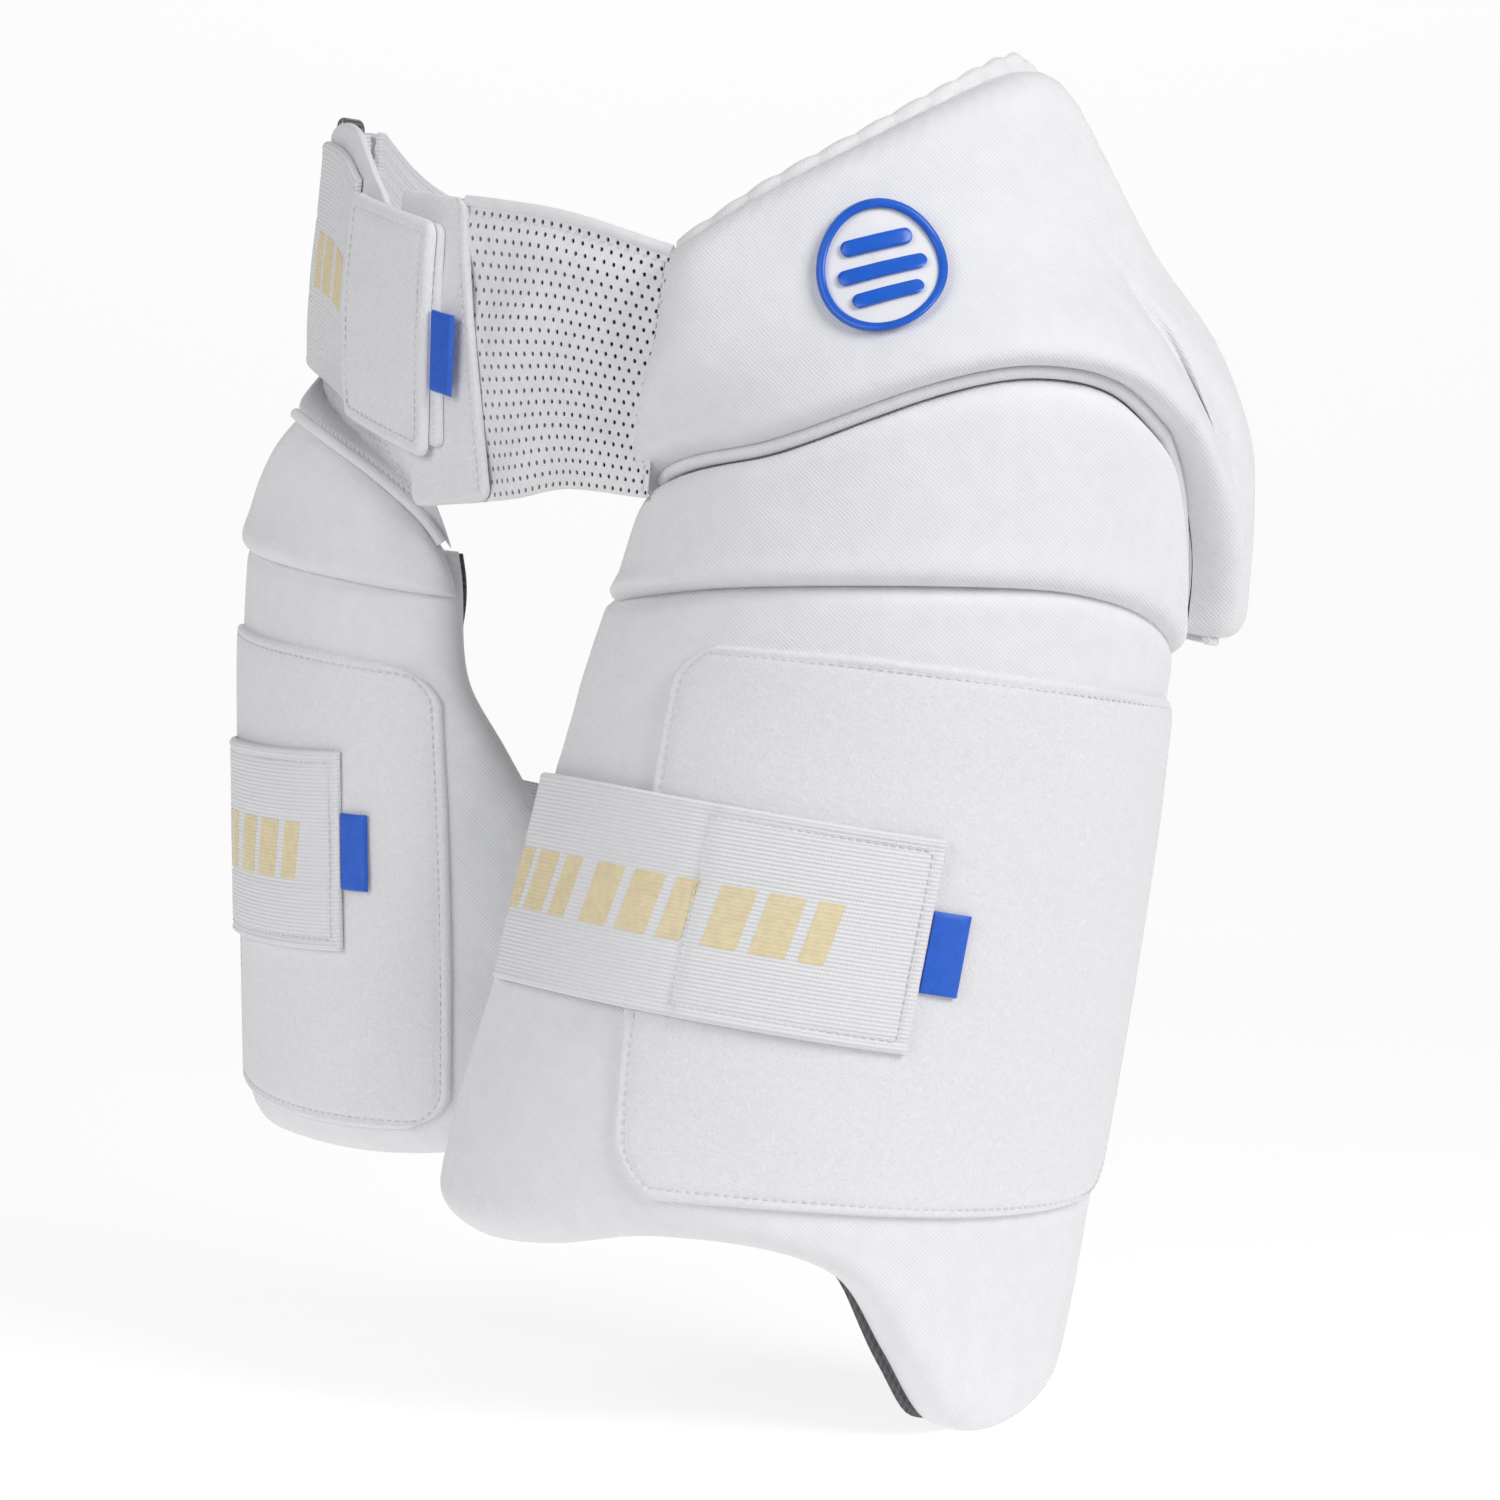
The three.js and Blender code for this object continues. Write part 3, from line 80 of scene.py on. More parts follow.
# Thicknesses and levels, out from the skin
LINING_THICKNESS = 2
HIP_THICKNESS = 18
OUTER_PAD_THICKNESS = 17.5
OUTER_TUCK_THICKNESS = 9.5
OUTER_YOKE_THICKNESS = 11
INNER_PAD_THICKNESS = 14
INNER_TUCK_THICKNESS = 9
INNER_YOKE_THICKNESS = 7
PATCH_THICKNESS = 1.5
MESH_THICKNESS = 1.2
WEBBING_THICKNESS = 2
TAB_THICKNESS = 2.4
LABEL_THICKNESS = 1.2
LAYER_GAP = 0.7
SEAM_GAP = 1.0
TOUCH_GAP = 0.6
CORD_RADIUS = 1.7
PAD_BASE = LINING_THICKNESS + LAYER_GAP
OUTER_YOKE_BASE = PAD_BASE + OUTER_TUCK_THICKNESS + LAYER_GAP
INNER_YOKE_BASE = PAD_BASE + INNER_TUCK_THICKNESS + LAYER_GAP
HIP_BASE = PAD_BASE + 2.8
OUTER_PATCH_BASE = PAD_BASE + OUTER_PAD_THICKNESS + 1
INNER_PATCH_BASE = PAD_BASE + INNER_PAD_THICKNESS + LAYER_GAP
OUTER_STRAP_BASE = OUTER_PATCH_BASE + PATCH_THICKNESS + LAYER_GAP
INNER_STRAP_BASE = INNER_PATCH_BASE + PATCH_THICKNESS + LAYER_GAP
LANDING_BASE = 2 * MESH_THICKNESS + LAYER_GAP
GUSSET_BASE = LANDING_BASE - TOUCH_GAP - MESH_THICKNESS
STRAP_BASE = LANDING_BASE + WEBBING_THICKNESS + LAYER_GAP
TAB_BASE = STRAP_BASE + WEBBING_THICKNESS + LAYER_GAP
CORD_WIDTH = 2 * (CORD_RADIUS + SEAM_GAP)
INNER_CORD_WIDTH = 2 * (CORD_RADIUS + 0.45)

# Belt ring
RING_HEIGHT = 100
RING_WIDTH = 18
RING_WIRE = 3
RING_AT = -82
RING_OUT = 5
RING_MIDDLE = 0.44
FOLD_REACH = 4.6
FOLD_LEG = 3
RING_SPAN = math.degrees((RING_WIDTH / 2 - RING_WIRE / 2 + FOLD_LEG + SEAM_GAP) / WAIST_HALF_DEPTH)
STRAP_FROM = RING_AT + RING_SPAN

# Badge
BADGE_RADIUS = 23
BADGE_ACROSS = 0.282
BADGE_DOWN = 0.49
BADGE_TILT = math.radians(14)

# Sections: share of the length, share of the half width, share of the half depth
HIP_SWELL = [(-0.575, 1.225, 1.05), (-0.3, 1.235, 1.05), (-0.175, 1.2, 1.05), (-0.04, 1.13, 1.04),
             (0.15, 1.0, 1.0), (0.53, 0.93, 0.93)]
OUTER_THIGH = [(-0.32, 0.896, 1.07), (0, 0.906, 1.047), (0.21, 0.958, 1.012), (0.5, 1.0, 0.977),
               (0.92, 1.031, 0.919), (1.34, 1.031, 0.884)]
INNER_THIGH = [(-0.23, 0.9, 1.0), (0, 0.925, 1.012), (0.31, 1.0, 1.012), (1.15, 1.0, 0.953)]

# Panels. Sides: share down, left edge and right edge in degrees round the body.
# Ends: share across, top edge and bottom edge as shares of the named height.
HIP_SIDES = [(0, 22.3, 110), (0.25, 20.5, 117), (0.6, 18.2, 120), (1, 16.6, 118)]
HIP_ENDS = [(0, 0.125, -0.32), (0.04, 0.155, -0.275), (0.14, 0.225, -0.222), (0.32, 0.325, -0.12),
            (0.43, 0.38, -0.1), (0.55, 0.43, -0.13), (0.62, 0.445, -0.2), (0.66, 0.43, -0.35),
            (0.7, 0.38, -0.5), (0.8, 0.22, -0.53), (0.92, 0.03, -0.52), (1, -0.1, -0.47)]
# Share across the hip guard, share along the yoke's edge, and how far the hem stands out
HIP_TO_YOKE = [(0, 0, 0.5), (0.14, 0.28, 0.5), (0.32, 0.56, 0.5), (0.43, 0.71, 0.5), (0.55, 0.9, 0.6),
               (0.61, 1, 0.7), (0.66, 1.45, 0.95), (0.7, 1.86, 1.05), (0.8, 1.86, 1.3), (1, 1.86, 1.3)]
HIP_SEAM_REACH = 0.6
HIP_LINING_RISE = 0.065
HIP_TAIL_FROM = 0.7
HIP_TAIL_AROUND = 112
YOKE_REAR_END = 1.86
YOKE_SIDES = [(0, -58.5, 50), (0.15, -60.5, 57), (0.35, -62, 64.5), (0.7, -64, 76.5), (1, -65, 81)]
YOKE_ENDS = [(0, -0.2, 0.2), (0.05, -0.33, 0.15), (0.28, -0.51, 0.0), (0.56, -0.86, -0.16),
             (0.7, -0.975, -0.2), (0.85, -0.985, -0.16), (1, -0.855, -0.02)]
OUTER_PAD_SIDES = [(0, -67, 95), (0.1, -71, 102), (0.3, -72.5, 102), (0.6, -77.5, 99), (0.85, -91, 94),
                   (0.95, -88, 88), (1, -74, 78)]
OUTER_PAD_ENDS = [(0, 0.0, 0.88), (0.1, -0.007, 0.882), (0.2, -0.035, 0.865), (0.35, -0.073, 0.82),
                  (0.5, -0.105, 0.805), (0.6, -0.125, 0.83), (0.68, -0.133, 0.91), (0.76, -0.13, 0.985),
                  (0.83, -0.115, 1.0), (0.92, -0.083, 0.975), (1, -0.07, 0.92)]
OUTER_PATCH_SIDES = [(0, -31, 72), (0.03, -36, 81), (0.08, -39, 85.5), (0.5, -34.5, 86), (0.9, -29.5, 85),
                     (0.96, -26, 80), (1, -20, 68)]
OUTER_PATCH_ENDS = [(0, 0.125, 1.145), (0.3, 0.088, 1.105), (0.65, 0.065, 1.068), (1, 0.062, 1.03)]
INNER_YOKE_SIDES = [(0, -50, -5), (0.25, -60, -4), (0.5, -69, -3), (1, -86, -2)]
INNER_YOKE_ENDS = [(0, -0.25, 0.64), (0.3, -0.1, 0.66), (0.6, 0.09, 0.71), (0.87, 0.34, 0.78), (1, 0.54, 0.81)]
INNER_PAD_SIDES = [(0, -88, -2), (0.05, -91, -1), (0.22, -93, 0.5), (0.34, -93, 10), (0.46, -93, 19),
                   (0.62, -93, 28), (0.8, -92, 32), (0.94, -89, 30), (1, -84, 22)]
INNER_PAD_ENDS = [(0, 0.08, 0.98), (0.15, 0.085, 1.0), (0.3, 0.09, 1.0), (0.6, 0.103, 1.0),
                  (0.85, 0.118, 0.985), (1, 0.125, 0.95)]
INNER_PATCH_SIDES = [(0, -80, -14), (0.03, -84, -8.5), (0.08, -85, -5), (0.92, -85, -4), (0.97, -84, -7.5),
                     (1, -80, -14)]
INNER_PATCH_ENDS = [(0, 0.37, 1.355), (0.5, 0.38, 1.37), (0.9, 0.4, 1.37), (1, 0.41, 1.365)]
FRONT_MESH_SIDES = [(0, -15, 21.6), (0.4, -14, 19.3), (1, -9, 17.2)]
FRONT_MESH_ENDS = [(0, 0.415, -0.56), (0.3, 0.38, -0.545), (0.6, 0.33, -0.515), (1, 0.215, -0.545)]
LANDING_SIDES = [(0, -23, -9.6), (1, -19, -4.8)]
LANDING_ENDS = [(0, 0.47, -0.57), (1, 0.42, -0.555)]
SIDE_MESH_SIDES = [(0, -70, -24), (1, -69, -17)]
SIDE_MESH_ENDS = [(0, 0.16, -0.25), (1, -0.1, -0.6)]
STRAP_SIDES = [(0, STRAP_FROM, -33.8), (1, STRAP_FROM, -33.2)]
STRAP_ENDS = [(0, 0.86, -0.03), (0.4, 0.85, -0.1), (0.7, 0.81, -0.16), (0.87, 0.75, -0.22), (1, 0.64, -0.3)]
UNDERLAY_SIDES = [(0, STRAP_FROM, -32), (0.3, STRAP_FROM, -25), (1, STRAP_FROM, -24.5)]
UNDERLAY_ENDS = [(0, 0.86, 0.08), (0.6, 0.9, 0.03), (0.85, 0.86, -0.05), (1, 0.7, -0.1)]
TAB_SIDES = [(0, -32.8, -13), (0.5, -33, -13.4), (1, -32.6, -14)]
TAB_ENDS = [(0, 0.594, -0.33), (1, 0.43, -0.52)]
TAB_BACKING_SIDES = [(0, -32.6, -12.6), (1, -32, -12.2)]
TAB_BACKING_ENDS = [(0, 0.57, -0.3), (1, 0.42, -0.48)]
WAIST_LABEL_SIDES = [(0, -12.7, -8.8), (1, -13.1, -9.4)]
WAIST_LABEL_ENDS = [(0, 0.25, -0.75), (1, 0.16, -0.84)]
BACK_BELT_SIDES = [(0, -252, RING_AT - RING_SPAN), (1, -252, RING_AT - RING_SPAN)]
BACK_BELT_ENDS = [(0, 0.36, -0.64), (0.25, 0.41, -0.59), (0.5, 0.48, -0.52), (0.78, 0.62, -0.38),
                  (0.9, 0.82, -0.18), (1, 1.08, 0.08)]
OUTER_STRAP_SIDES = [(0, -276, 16.8), (1, -276, 16.8)]
OUTER_STRAP_ENDS = [(0, 1.05, 2.05), (0.3, 1.2, 2.2), (0.58, 1.22, 2.22), (0.7, 1.09, 2.09),
                    (0.87, 1.01, 2.01), (1, 0.965, 1.965)]
OUTER_STRAP_OUT = [(0, -0.15), (0.12, -0.15), (0.25, -0.1), (0.4, -0.3), (0.54, -0.3), (0.615, -0.12),
                   (0.635, 0.08), (0.656, 0.4), (0.676, 0.7), (0.697, 0.87), (0.717, 1), (1, 1)]
OUTER_LABEL_SIDES = [(0, 17.1, 23.8), (1, 17.1, 23.8)]
OUTER_LABEL_ENDS = [(0, 3.39, 4.39), (1, 3.38, 4.38)]
INNER_STRAP_SIDES = [(0, -333, -29.5), (1, -333, -29.5)]
INNER_STRAP_ENDS = [(0, 2.0, 3.0), (0.4, 1.95, 2.95), (0.6, 1.75, 2.75), (0.8, 1.5, 2.5), (1, 1.41, 2.41)]
INNER_STRAP_OUT = [(0, -0.2), (0.08, -0.2), (0.2, -0.1), (0.68, 0.0), (0.755, 0.3), (0.79, 0.85),
                   (0.83, 1), (1, 1)]
INNER_LABEL_SIDES = [(0, -29.2, -22.5), (1, -29.2, -22.5)]
INNER_LABEL_ENDS = [(0, 4.5, 5.5), (1, 4.5, 5.5)]


def mix(a, b, t):
    return a + (b - a) * t


def smooth(t):
    t = np.clip(t, 0, 1)
    return t * t * (3 - 2 * t)


def read(rows, at, column):
    """A smooth reading of one column of a table."""
    x = np.array([r[0] for r in rows], float)
    y = np.array([r[column] for r in rows], float)
    at = np.asarray(at, float)
    last = len(x) - 1
    k = np.searchsorted(x[1:-1], at, side="left")
    low = np.maximum(np.arange(len(x)) - 1, 0)
    high = np.minimum(np.arange(len(x)) + 1, last)
    slope = (y[high] - y[low]) / (x[high] - x[low])
    span = x[k + 1] - x[k]
    t = np.clip((at - x[k]) / span, 0, 1)
    rise = y[k + 1] - y[k]
    start = slope[k] * span - rise
    end = rise - slope[k + 1] * span
    return y[k] + rise * t + t * (1 - t) * (start * (1 - t) + end * t)


def on_waist(around, height, out):
    """A point of the body at the waist and hip, out from the skin."""
    around, height, out = np.broadcast_arrays(np.radians(around), height, out)
    side = smooth((np.sin(around) + 0.2) / 1.1)
    share = np.clip(height / HIP_HEIGHT, -0.575, 0.53)
    narrow = 1 - WAIST_TAPER * smooth(height / BELT_HEIGHT)
    width = WAIST_HALF_WIDTH * mix(narrow, read(HIP_SWELL, share, 1), side) + out
    depth = WAIST_HALF_DEPTH * mix(narrow, read(HIP_SWELL, share, 2), side) + out
    return np.stack([width * np.sin(around), -depth * np.cos(around), height + 0 * width], -1)


def on_thigh(sections, size, around, down, out):
    """A point of a thigh, in the frame that the wearer faces."""
    around, down, out = np.broadcast_arrays(np.radians(around), down, out)
    share = np.clip(down / size["length"], sections[0][0], sections[-1][0])
    width = size["half_width"] * read(sections, share, 1) + out
    depth = size["half_depth"] * read(sections, share, 2) + out
    x, y, z = width * np.sin(around), -depth * np.cos(around), -down + 0 * width
    lean, back = size["lean"], size["back"]
    x, z = x * math.cos(lean) + z * math.sin(lean), -x * math.sin(lean) + z * math.cos(lean)
    y, z = y * math.cos(back) - z * math.sin(back), y * math.sin(back) + z * math.cos(back)
    x, y, z = x + size["origin"][0], y + size["origin"][1], z + size["origin"][2]
    c, s = math.cos(PAD_TURN), math.sin(PAD_TURN)
    return np.stack([x * c - y * s, x * s + y * c, z], -1)


def on_outer(around, down, out):
    return on_thigh(OUTER_THIGH, OUTER_SIZE, around, down, out)


def on_inner(around, down, out):
    return on_thigh(INNER_THIGH, INNER_SIZE, around, down, out)


def bounded(body, sides, ends, height):
    """The place of a share across and down a panel that two tables bound."""
    def place(u, v, out):
        around = mix(read(sides, v, 1), read(sides, v, 2), u)
        level = mix(read(ends, u, 1), read(ends, u, 2), v) * height
        return body(around, level, out)
    return place


def edge_point(place, along, out):
    """A point of a panel's upper edge; shares above one run on down its right edge."""
    return place(np.minimum(along, 1), np.maximum(along - 1, 0), out)


def beside(place, along, away, out):
    """A point beside that edge, the given distance away from the panel."""
    along = np.asarray(along, float)
    point = edge_point(place, along, out)
    tangent = edge_point(place, along + 0.02, out) - edge_point(place, along - 0.02, out)
    normal = edge_point(place, along, out + 1) - point
    side = np.cross(normal, tangent)
    return point + side / np.linalg.norm(side, axis=-1, keepdims=True) * away


yoke_place = bounded(on_outer, YOKE_SIDES, YOKE_ENDS, OUTER_YOKE_HEIGHT)
inner_yoke_place = bounded(on_inner, INNER_YOKE_SIDES, INNER_YOKE_ENDS, INNER_YOKE_HEIGHT)


def hip_seam(across, out, away):
    """The hem of the hip guard: beside the yoke, then on round the thigh."""
    across, out = np.broadcast_arrays(np.asarray(across, float), out)
    along = np.minimum(read(HIP_TO_YOKE, across, 1), YOKE_REAR_END) + 2 * np.minimum(across, 0)
    lifted = out + HIP_THICKNESS * read(HIP_TO_YOKE, across, 2)
    past = np.maximum(0, (across - HIP_TAIL_FROM) / (1 - HIP_TAIL_FROM))
    down = YOKE_REAR_END - 1
    start = read(YOKE_SIDES, down, 2) + math.degrees(away / OUTER_THIGH_HALF_WIDTH)
    level = mix(read(YOKE_ENDS, 1, 1), read(YOKE_ENDS, 1, 2), down) * OUTER_YOKE_HEIGHT
    tail = on_outer(mix(start, HIP_TAIL_AROUND, past), level, lifted)
    return np.where((past > 0)[..., None], tail, beside(yoke_place, along, away, lifted))


def sewn(place, seam, reach):
    """Draws the lower edge of a waist piece on to the pad that it is sewn to."""
    def drawn(u, v, out):
        u, v, out = np.broadcast_arrays(u, v, out)
        pull = seam(u, out) - place(u, np.ones_like(v, float), out)
        return place(u, v, out) + pull * smooth((v - 1 + reach) / reach)[..., None]
    return drawn


hip_flat = bounded(on_waist, HIP_SIDES, HIP_ENDS, HIP_HEIGHT)
hip_sewn = sewn(hip_flat, lambda u, out: hip_seam(u, out, CORD_WIDTH - 0.9), HIP_SEAM_REACH)


def hip_place(u, v, out):
    """The hip guard, drawn over the edge of the front mesh towards its lower corner."""
    return hip_sewn(mix(-0.017 * smooth((v - 0.3) / 0.5), 1, u), v, out)


# Stations, relief and meshes
def span_of(place, out=0):
    """Width and height of a panel across its middles, in millimetres."""
    t = np.linspace(0, 1, 41)
    across = place(t, np.full_like(t, 0.5), out)
    down = place(np.full_like(t, 0.5), t, out)
    return tuple(np.linalg.norm(np.diff(p, axis=0), axis=1).sum() for p in (across, down))


def stations(length, pitch, near=0, far=0, steps=7):
    """Shares from 0 to 1, closer together within near and far of the ends."""
    bend = 1 - np.cos(np.linspace(0, math.pi / 2, steps + 1))
    head = near / length * bend if near else np.array([0.0])
    tail = 1 - far / length * bend[::-1] if far else np.array([1.0])
    count = max(2, int(round((tail[0] - head[-1]) * length / pitch)))
    return np.concatenate([head, np.linspace(head[-1], tail[0], count + 1)[1:-1], tail])


def swell(distance, reach, fullness=2.0):
    if reach <= 0:
        return np.ones_like(distance)
    t = np.clip(1 - distance / reach, 0, 1)
    return (1 - t ** fullness) ** (1 / fullness)


def waves(x, y, size, seed, count=7):
    """Soft irregular waves between about -1 and 1."""
    rng = np.random.RandomState(seed)
    total = 0
    for _ in range(count):
        angle = rng.uniform(0, 2 * math.pi)
        k = 2 * math.pi / (size * rng.uniform(0.7, 1.6))
        total = total + np.sin(k * (x * math.cos(angle) + y * math.sin(angle)) + rng.uniform(0, 6.3))
    return total / count * 1.6


def groove(distance, width):
    return np.exp(-(distance / width) ** 2)


def line_distance(x, y, points):
    """Distance from a line through points, in the panel's own millimetres."""
    best = np.full(np.shape(x), 1e9)
    for (ax, ay), (bx, by) in zip(points[:-1], points[1:]):
        dx, dy = bx - ax, by - ay
        t = np.clip(((x - ax) * dx + (y - ay) * dy) / (dx * dx + dy * dy), 0, 1)
        best = np.minimum(best, np.hypot(x - ax - t * dx, y - ay - t * dy))
    return best


def mesh_object(name, points, faces, uv=None, angle=50):
    """A mesh from points in millimetres; faces is one array of quads or a list of polygons."""
    mesh = bpy.data.meshes.new(name)
    if isinstance(faces, np.ndarray):
        count, size = faces.shape
        mesh.vertices.add(len(points))
        mesh.vertices.foreach_set("co", (np.asarray(points, np.float64) * MM).astype(np.float32).ravel())
        mesh.loops.add(count * size)
        mesh.loops.foreach_set("vertex_index", faces.astype(np.int32).ravel())
        mesh.polygons.add(count)
        mesh.polygons.foreach_set("loop_start", np.arange(0, count * size, size, dtype=np.int32))
        mesh.update(calc_edges=True)
    else:
        mesh.from_pydata((np.asarray(points) * MM).tolist(), [], faces)
        mesh.update()
    if uv is not None:
        layer = mesh.uv_layers.new(name="UVMap")
        corner = np.zeros(len(mesh.loops), np.int32)
        mesh.loops.foreach_get("vertex_index", corner)
        layer.data.foreach_set("uv", (np.asarray(uv)[corner] * MM).astype(np.float32).ravel())
    mesh.validate()
    mesh.shade_smooth()
    mesh.set_sharp_from_angle(angle=math.radians(angle))
    made = bpy.data.objects.new(name, mesh)
    bpy.context.scene.collection.objects.link(made)
    return made


def shell_faces(rows, columns):
    """Quads of a closed sheet: outer grid first, then inner grid."""
    at = np.arange(rows * columns).reshape(rows, columns)
    deep = at + rows * columns
    a, b, c, d = at[:-1, :-1], at[1:, :-1], at[1:, 1:], at[:-1, 1:]
    quads = [np.stack([a, b, c, d], -1).reshape(-1, 4)]
    a, b, c, d = deep[:-1, :-1], deep[:-1, 1:], deep[1:, 1:], deep[1:, :-1]
    quads.append(np.stack([a, b, c, d], -1).reshape(-1, 4))
    for near, under in ((at[0], deep[0]), (at[-1][::-1], deep[-1][::-1]),
                        (at[:, 0][::-1], deep[:, 0][::-1]), (at[:, -1], deep[:, -1])):
        quads.append(np.stack([under[:-1], near[:-1], near[1:], under[1:]], -1))
    return np.concatenate(quads)


def shell(name, place, us, vs, outer, inner):
    """A closed sheet or pad. outer and inner give the level at x, y millimetres across and down."""
    width, height = span_of(place)
    v, u = np.meshgrid(vs, us, indexing="ij")
    x, y = u * width, v * height
    top, low = outer(x, y), inner(x, y)
    points = np.concatenate([place(u, v, top).reshape(-1, 3), place(u, v, low).reshape(-1, 3)])
    uv = np.stack([x.ravel(), y.ravel()], -1)
    made = mesh_object(name, points, shell_faces(len(vs), len(us)), np.concatenate([uv, uv]))
    face = place(u, v, top)
    du = np.linalg.norm(np.diff(face, axis=1), axis=2)
    dv = np.linalg.norm(np.diff(face, axis=0), axis=2)
    made["flat_w"] = float(du.sum(1).max() * MM)
    made["flat_l"] = float(dv.sum(0).max() * MM)
    cell = np.linalg.norm(np.cross(np.diff(face, axis=1)[:-1], np.diff(face, axis=0)[:, :-1]), axis=2)
    made["flat_a"] = float(cell.sum() * MM * MM)
    return made


def rounded(place, radius):
    """The same panel with round corners."""
    width, height = span_of(place)
    def cut(u, v, out):
        y = np.minimum(v, 1 - v) * height
        inset = radius - np.sqrt(np.maximum(0, radius ** 2 - np.maximum(0, radius - y) ** 2))
        return place(mix(inset / width, 1 - inset / width, u), v, out)
    return cut


def ring_of(center, axis_a, axis_b, radius_a, radius_b, sides):
    angle = np.linspace(0, 2 * math.pi, sides, endpoint=False)
    return center + np.outer(np.cos(angle) * radius_a, axis_a) + np.outer(np.sin(angle) * radius_b, axis_b)


def tube(name, path, radius, sides=14, closed=False, flat=1.0, normal=None):
    """A round or flattened cord along a path of points."""
    path = np.asarray(path, float)
    if closed:
        tangent = np.roll(path, -1, 0) - np.roll(path, 1, 0)
    else:
        tangent = np.gradient(path, axis=0)
    tangent /= np.linalg.norm(tangent, axis=1, keepdims=True)
    up = np.array([0.0, 0.0, 1.0]) if normal is None else None
    points, uv, run = [], [], 0.0
    side = None
    for i, (p, t) in enumerate(zip(path, tangent)):
        n = normal[i] if normal is not None else (up if side is None else np.cross(side, t))
        n = n - t * np.dot(n, t)
        n /= np.linalg.norm(n)
        side = np.cross(t, n)
        points.append(ring_of(p, side, n, radius, radius * flat, sides))
        run += 0 if i == 0 else np.linalg.norm(p - path[i - 1])
        uv.append(np.stack([np.full(sides, run), np.arange(sides) * 2 * math.pi * radius / sides], -1))
    count = len(path)
    at = np.arange(count * sides).reshape(count, sides)
    nxt = np.roll(at, -1, 1)
    ends = range(count) if closed else range(count - 1)
    faces = [tuple(int(q) for q in (at[i, k], at[(i + 1) % count, k], nxt[(i + 1) % count, k], nxt[i, k]))
             for i in ends for k in range(sides)]
    if not closed:
        faces += [tuple(int(q) for q in at[0]), tuple(int(q) for q in at[-1][::-1])]
    return mesh_object(name, np.concatenate(points), faces, np.concatenate(uv), angle=60)


def resample(path, pitch):
    """Points at an even pitch along a line, with the extra columns carried along."""
    steps = np.linalg.norm(np.diff(path[:, :3], axis=0), axis=1)
    run = np.concatenate([[0], np.cumsum(steps)])
    count = max(2, int(round(run[-1] / pitch)))
    at = np.linspace(0, run[-1], count + 1)
    return np.stack([np.interp(at, run, path[:, k]) for k in range(path.shape[1])], -1)


class Stitches:
    """Rows of short raised stitches, gathered into one mesh."""

    def __init__(self, name):
        self.name, self.points, self.faces, self.base = name, [], [], 0

    def row(self, place, us, vs, level, pitch=3.4, length=2.4, radius=0.34):
        us, vs = np.broadcast_arrays(np.asarray(us, float), np.asarray(vs, float))
        spots = place(us, vs, level)
        normal = place(us, vs, level + 1) - spots
        line = resample(np.concatenate([spots, normal], 1), pitch)
        middle = (line[1:] + line[:-1]) / 2
        along = line[1:, :3] - line[:-1, :3]
        for p, t in zip(middle, along):
            n = p[3:] / np.linalg.norm(p[3:])
            t = t / max(1e-9, np.linalg.norm(t))
            n = n - t * np.dot(n, t)
            n /= np.linalg.norm(n)
            side = np.cross(t, n)
            self.add(p[:3], t, side, n, length, radius)

    def add(self, p, t, side, n, length, radius):
        pts = [p - t * length / 2 - n * radius * 0.5]
        for share, size in ((-0.3, 0.85), (0.3, 0.85)):
            pts.extend(ring_of(p + t * length * share, side, n, radius * size, radius * size, 5))
        pts.append(p + t * length / 2 - n * radius * 0.5)
        b = self.base
        for k in range(5):
            m = (k + 1) % 5
            self.faces += [(b, b + 1 + m, b + 1 + k), (b + 1 + k, b + 1 + m, b + 6 + m, b + 6 + k),
                           (b + 6 + k, b + 6 + m, b + 11)]
        self.points.extend(pts)
        self.base += 12

    def make(self):
        return mesh_object(self.name, np.array(self.points), self.faces, angle=80)


def border(inset_x, inset_y, width, height, count=60, sides="trbl"):
    """Lines of shares that run parallel to a panel's edges."""
    a, b = inset_x / width, inset_y / height
    t = np.linspace(0, 1, count)
    lines = {"t": (mix(a, 1 - a, t), np.full(count, b)), "b": (mix(a, 1 - a, t), np.full(count, 1 - b)),
             "l": (np.full(count, a), mix(b, 1 - b, t)), "r": (np.full(count, 1 - a), mix(b, 1 - b, t))}
    return [lines[s] for s in sides]


def edge_distance(x, y, width, height, sides="trbl"):
    near = {"t": y, "b": height - y, "l": x, "r": width - x}
    return np.minimum.reduce([near[s] for s in sides])


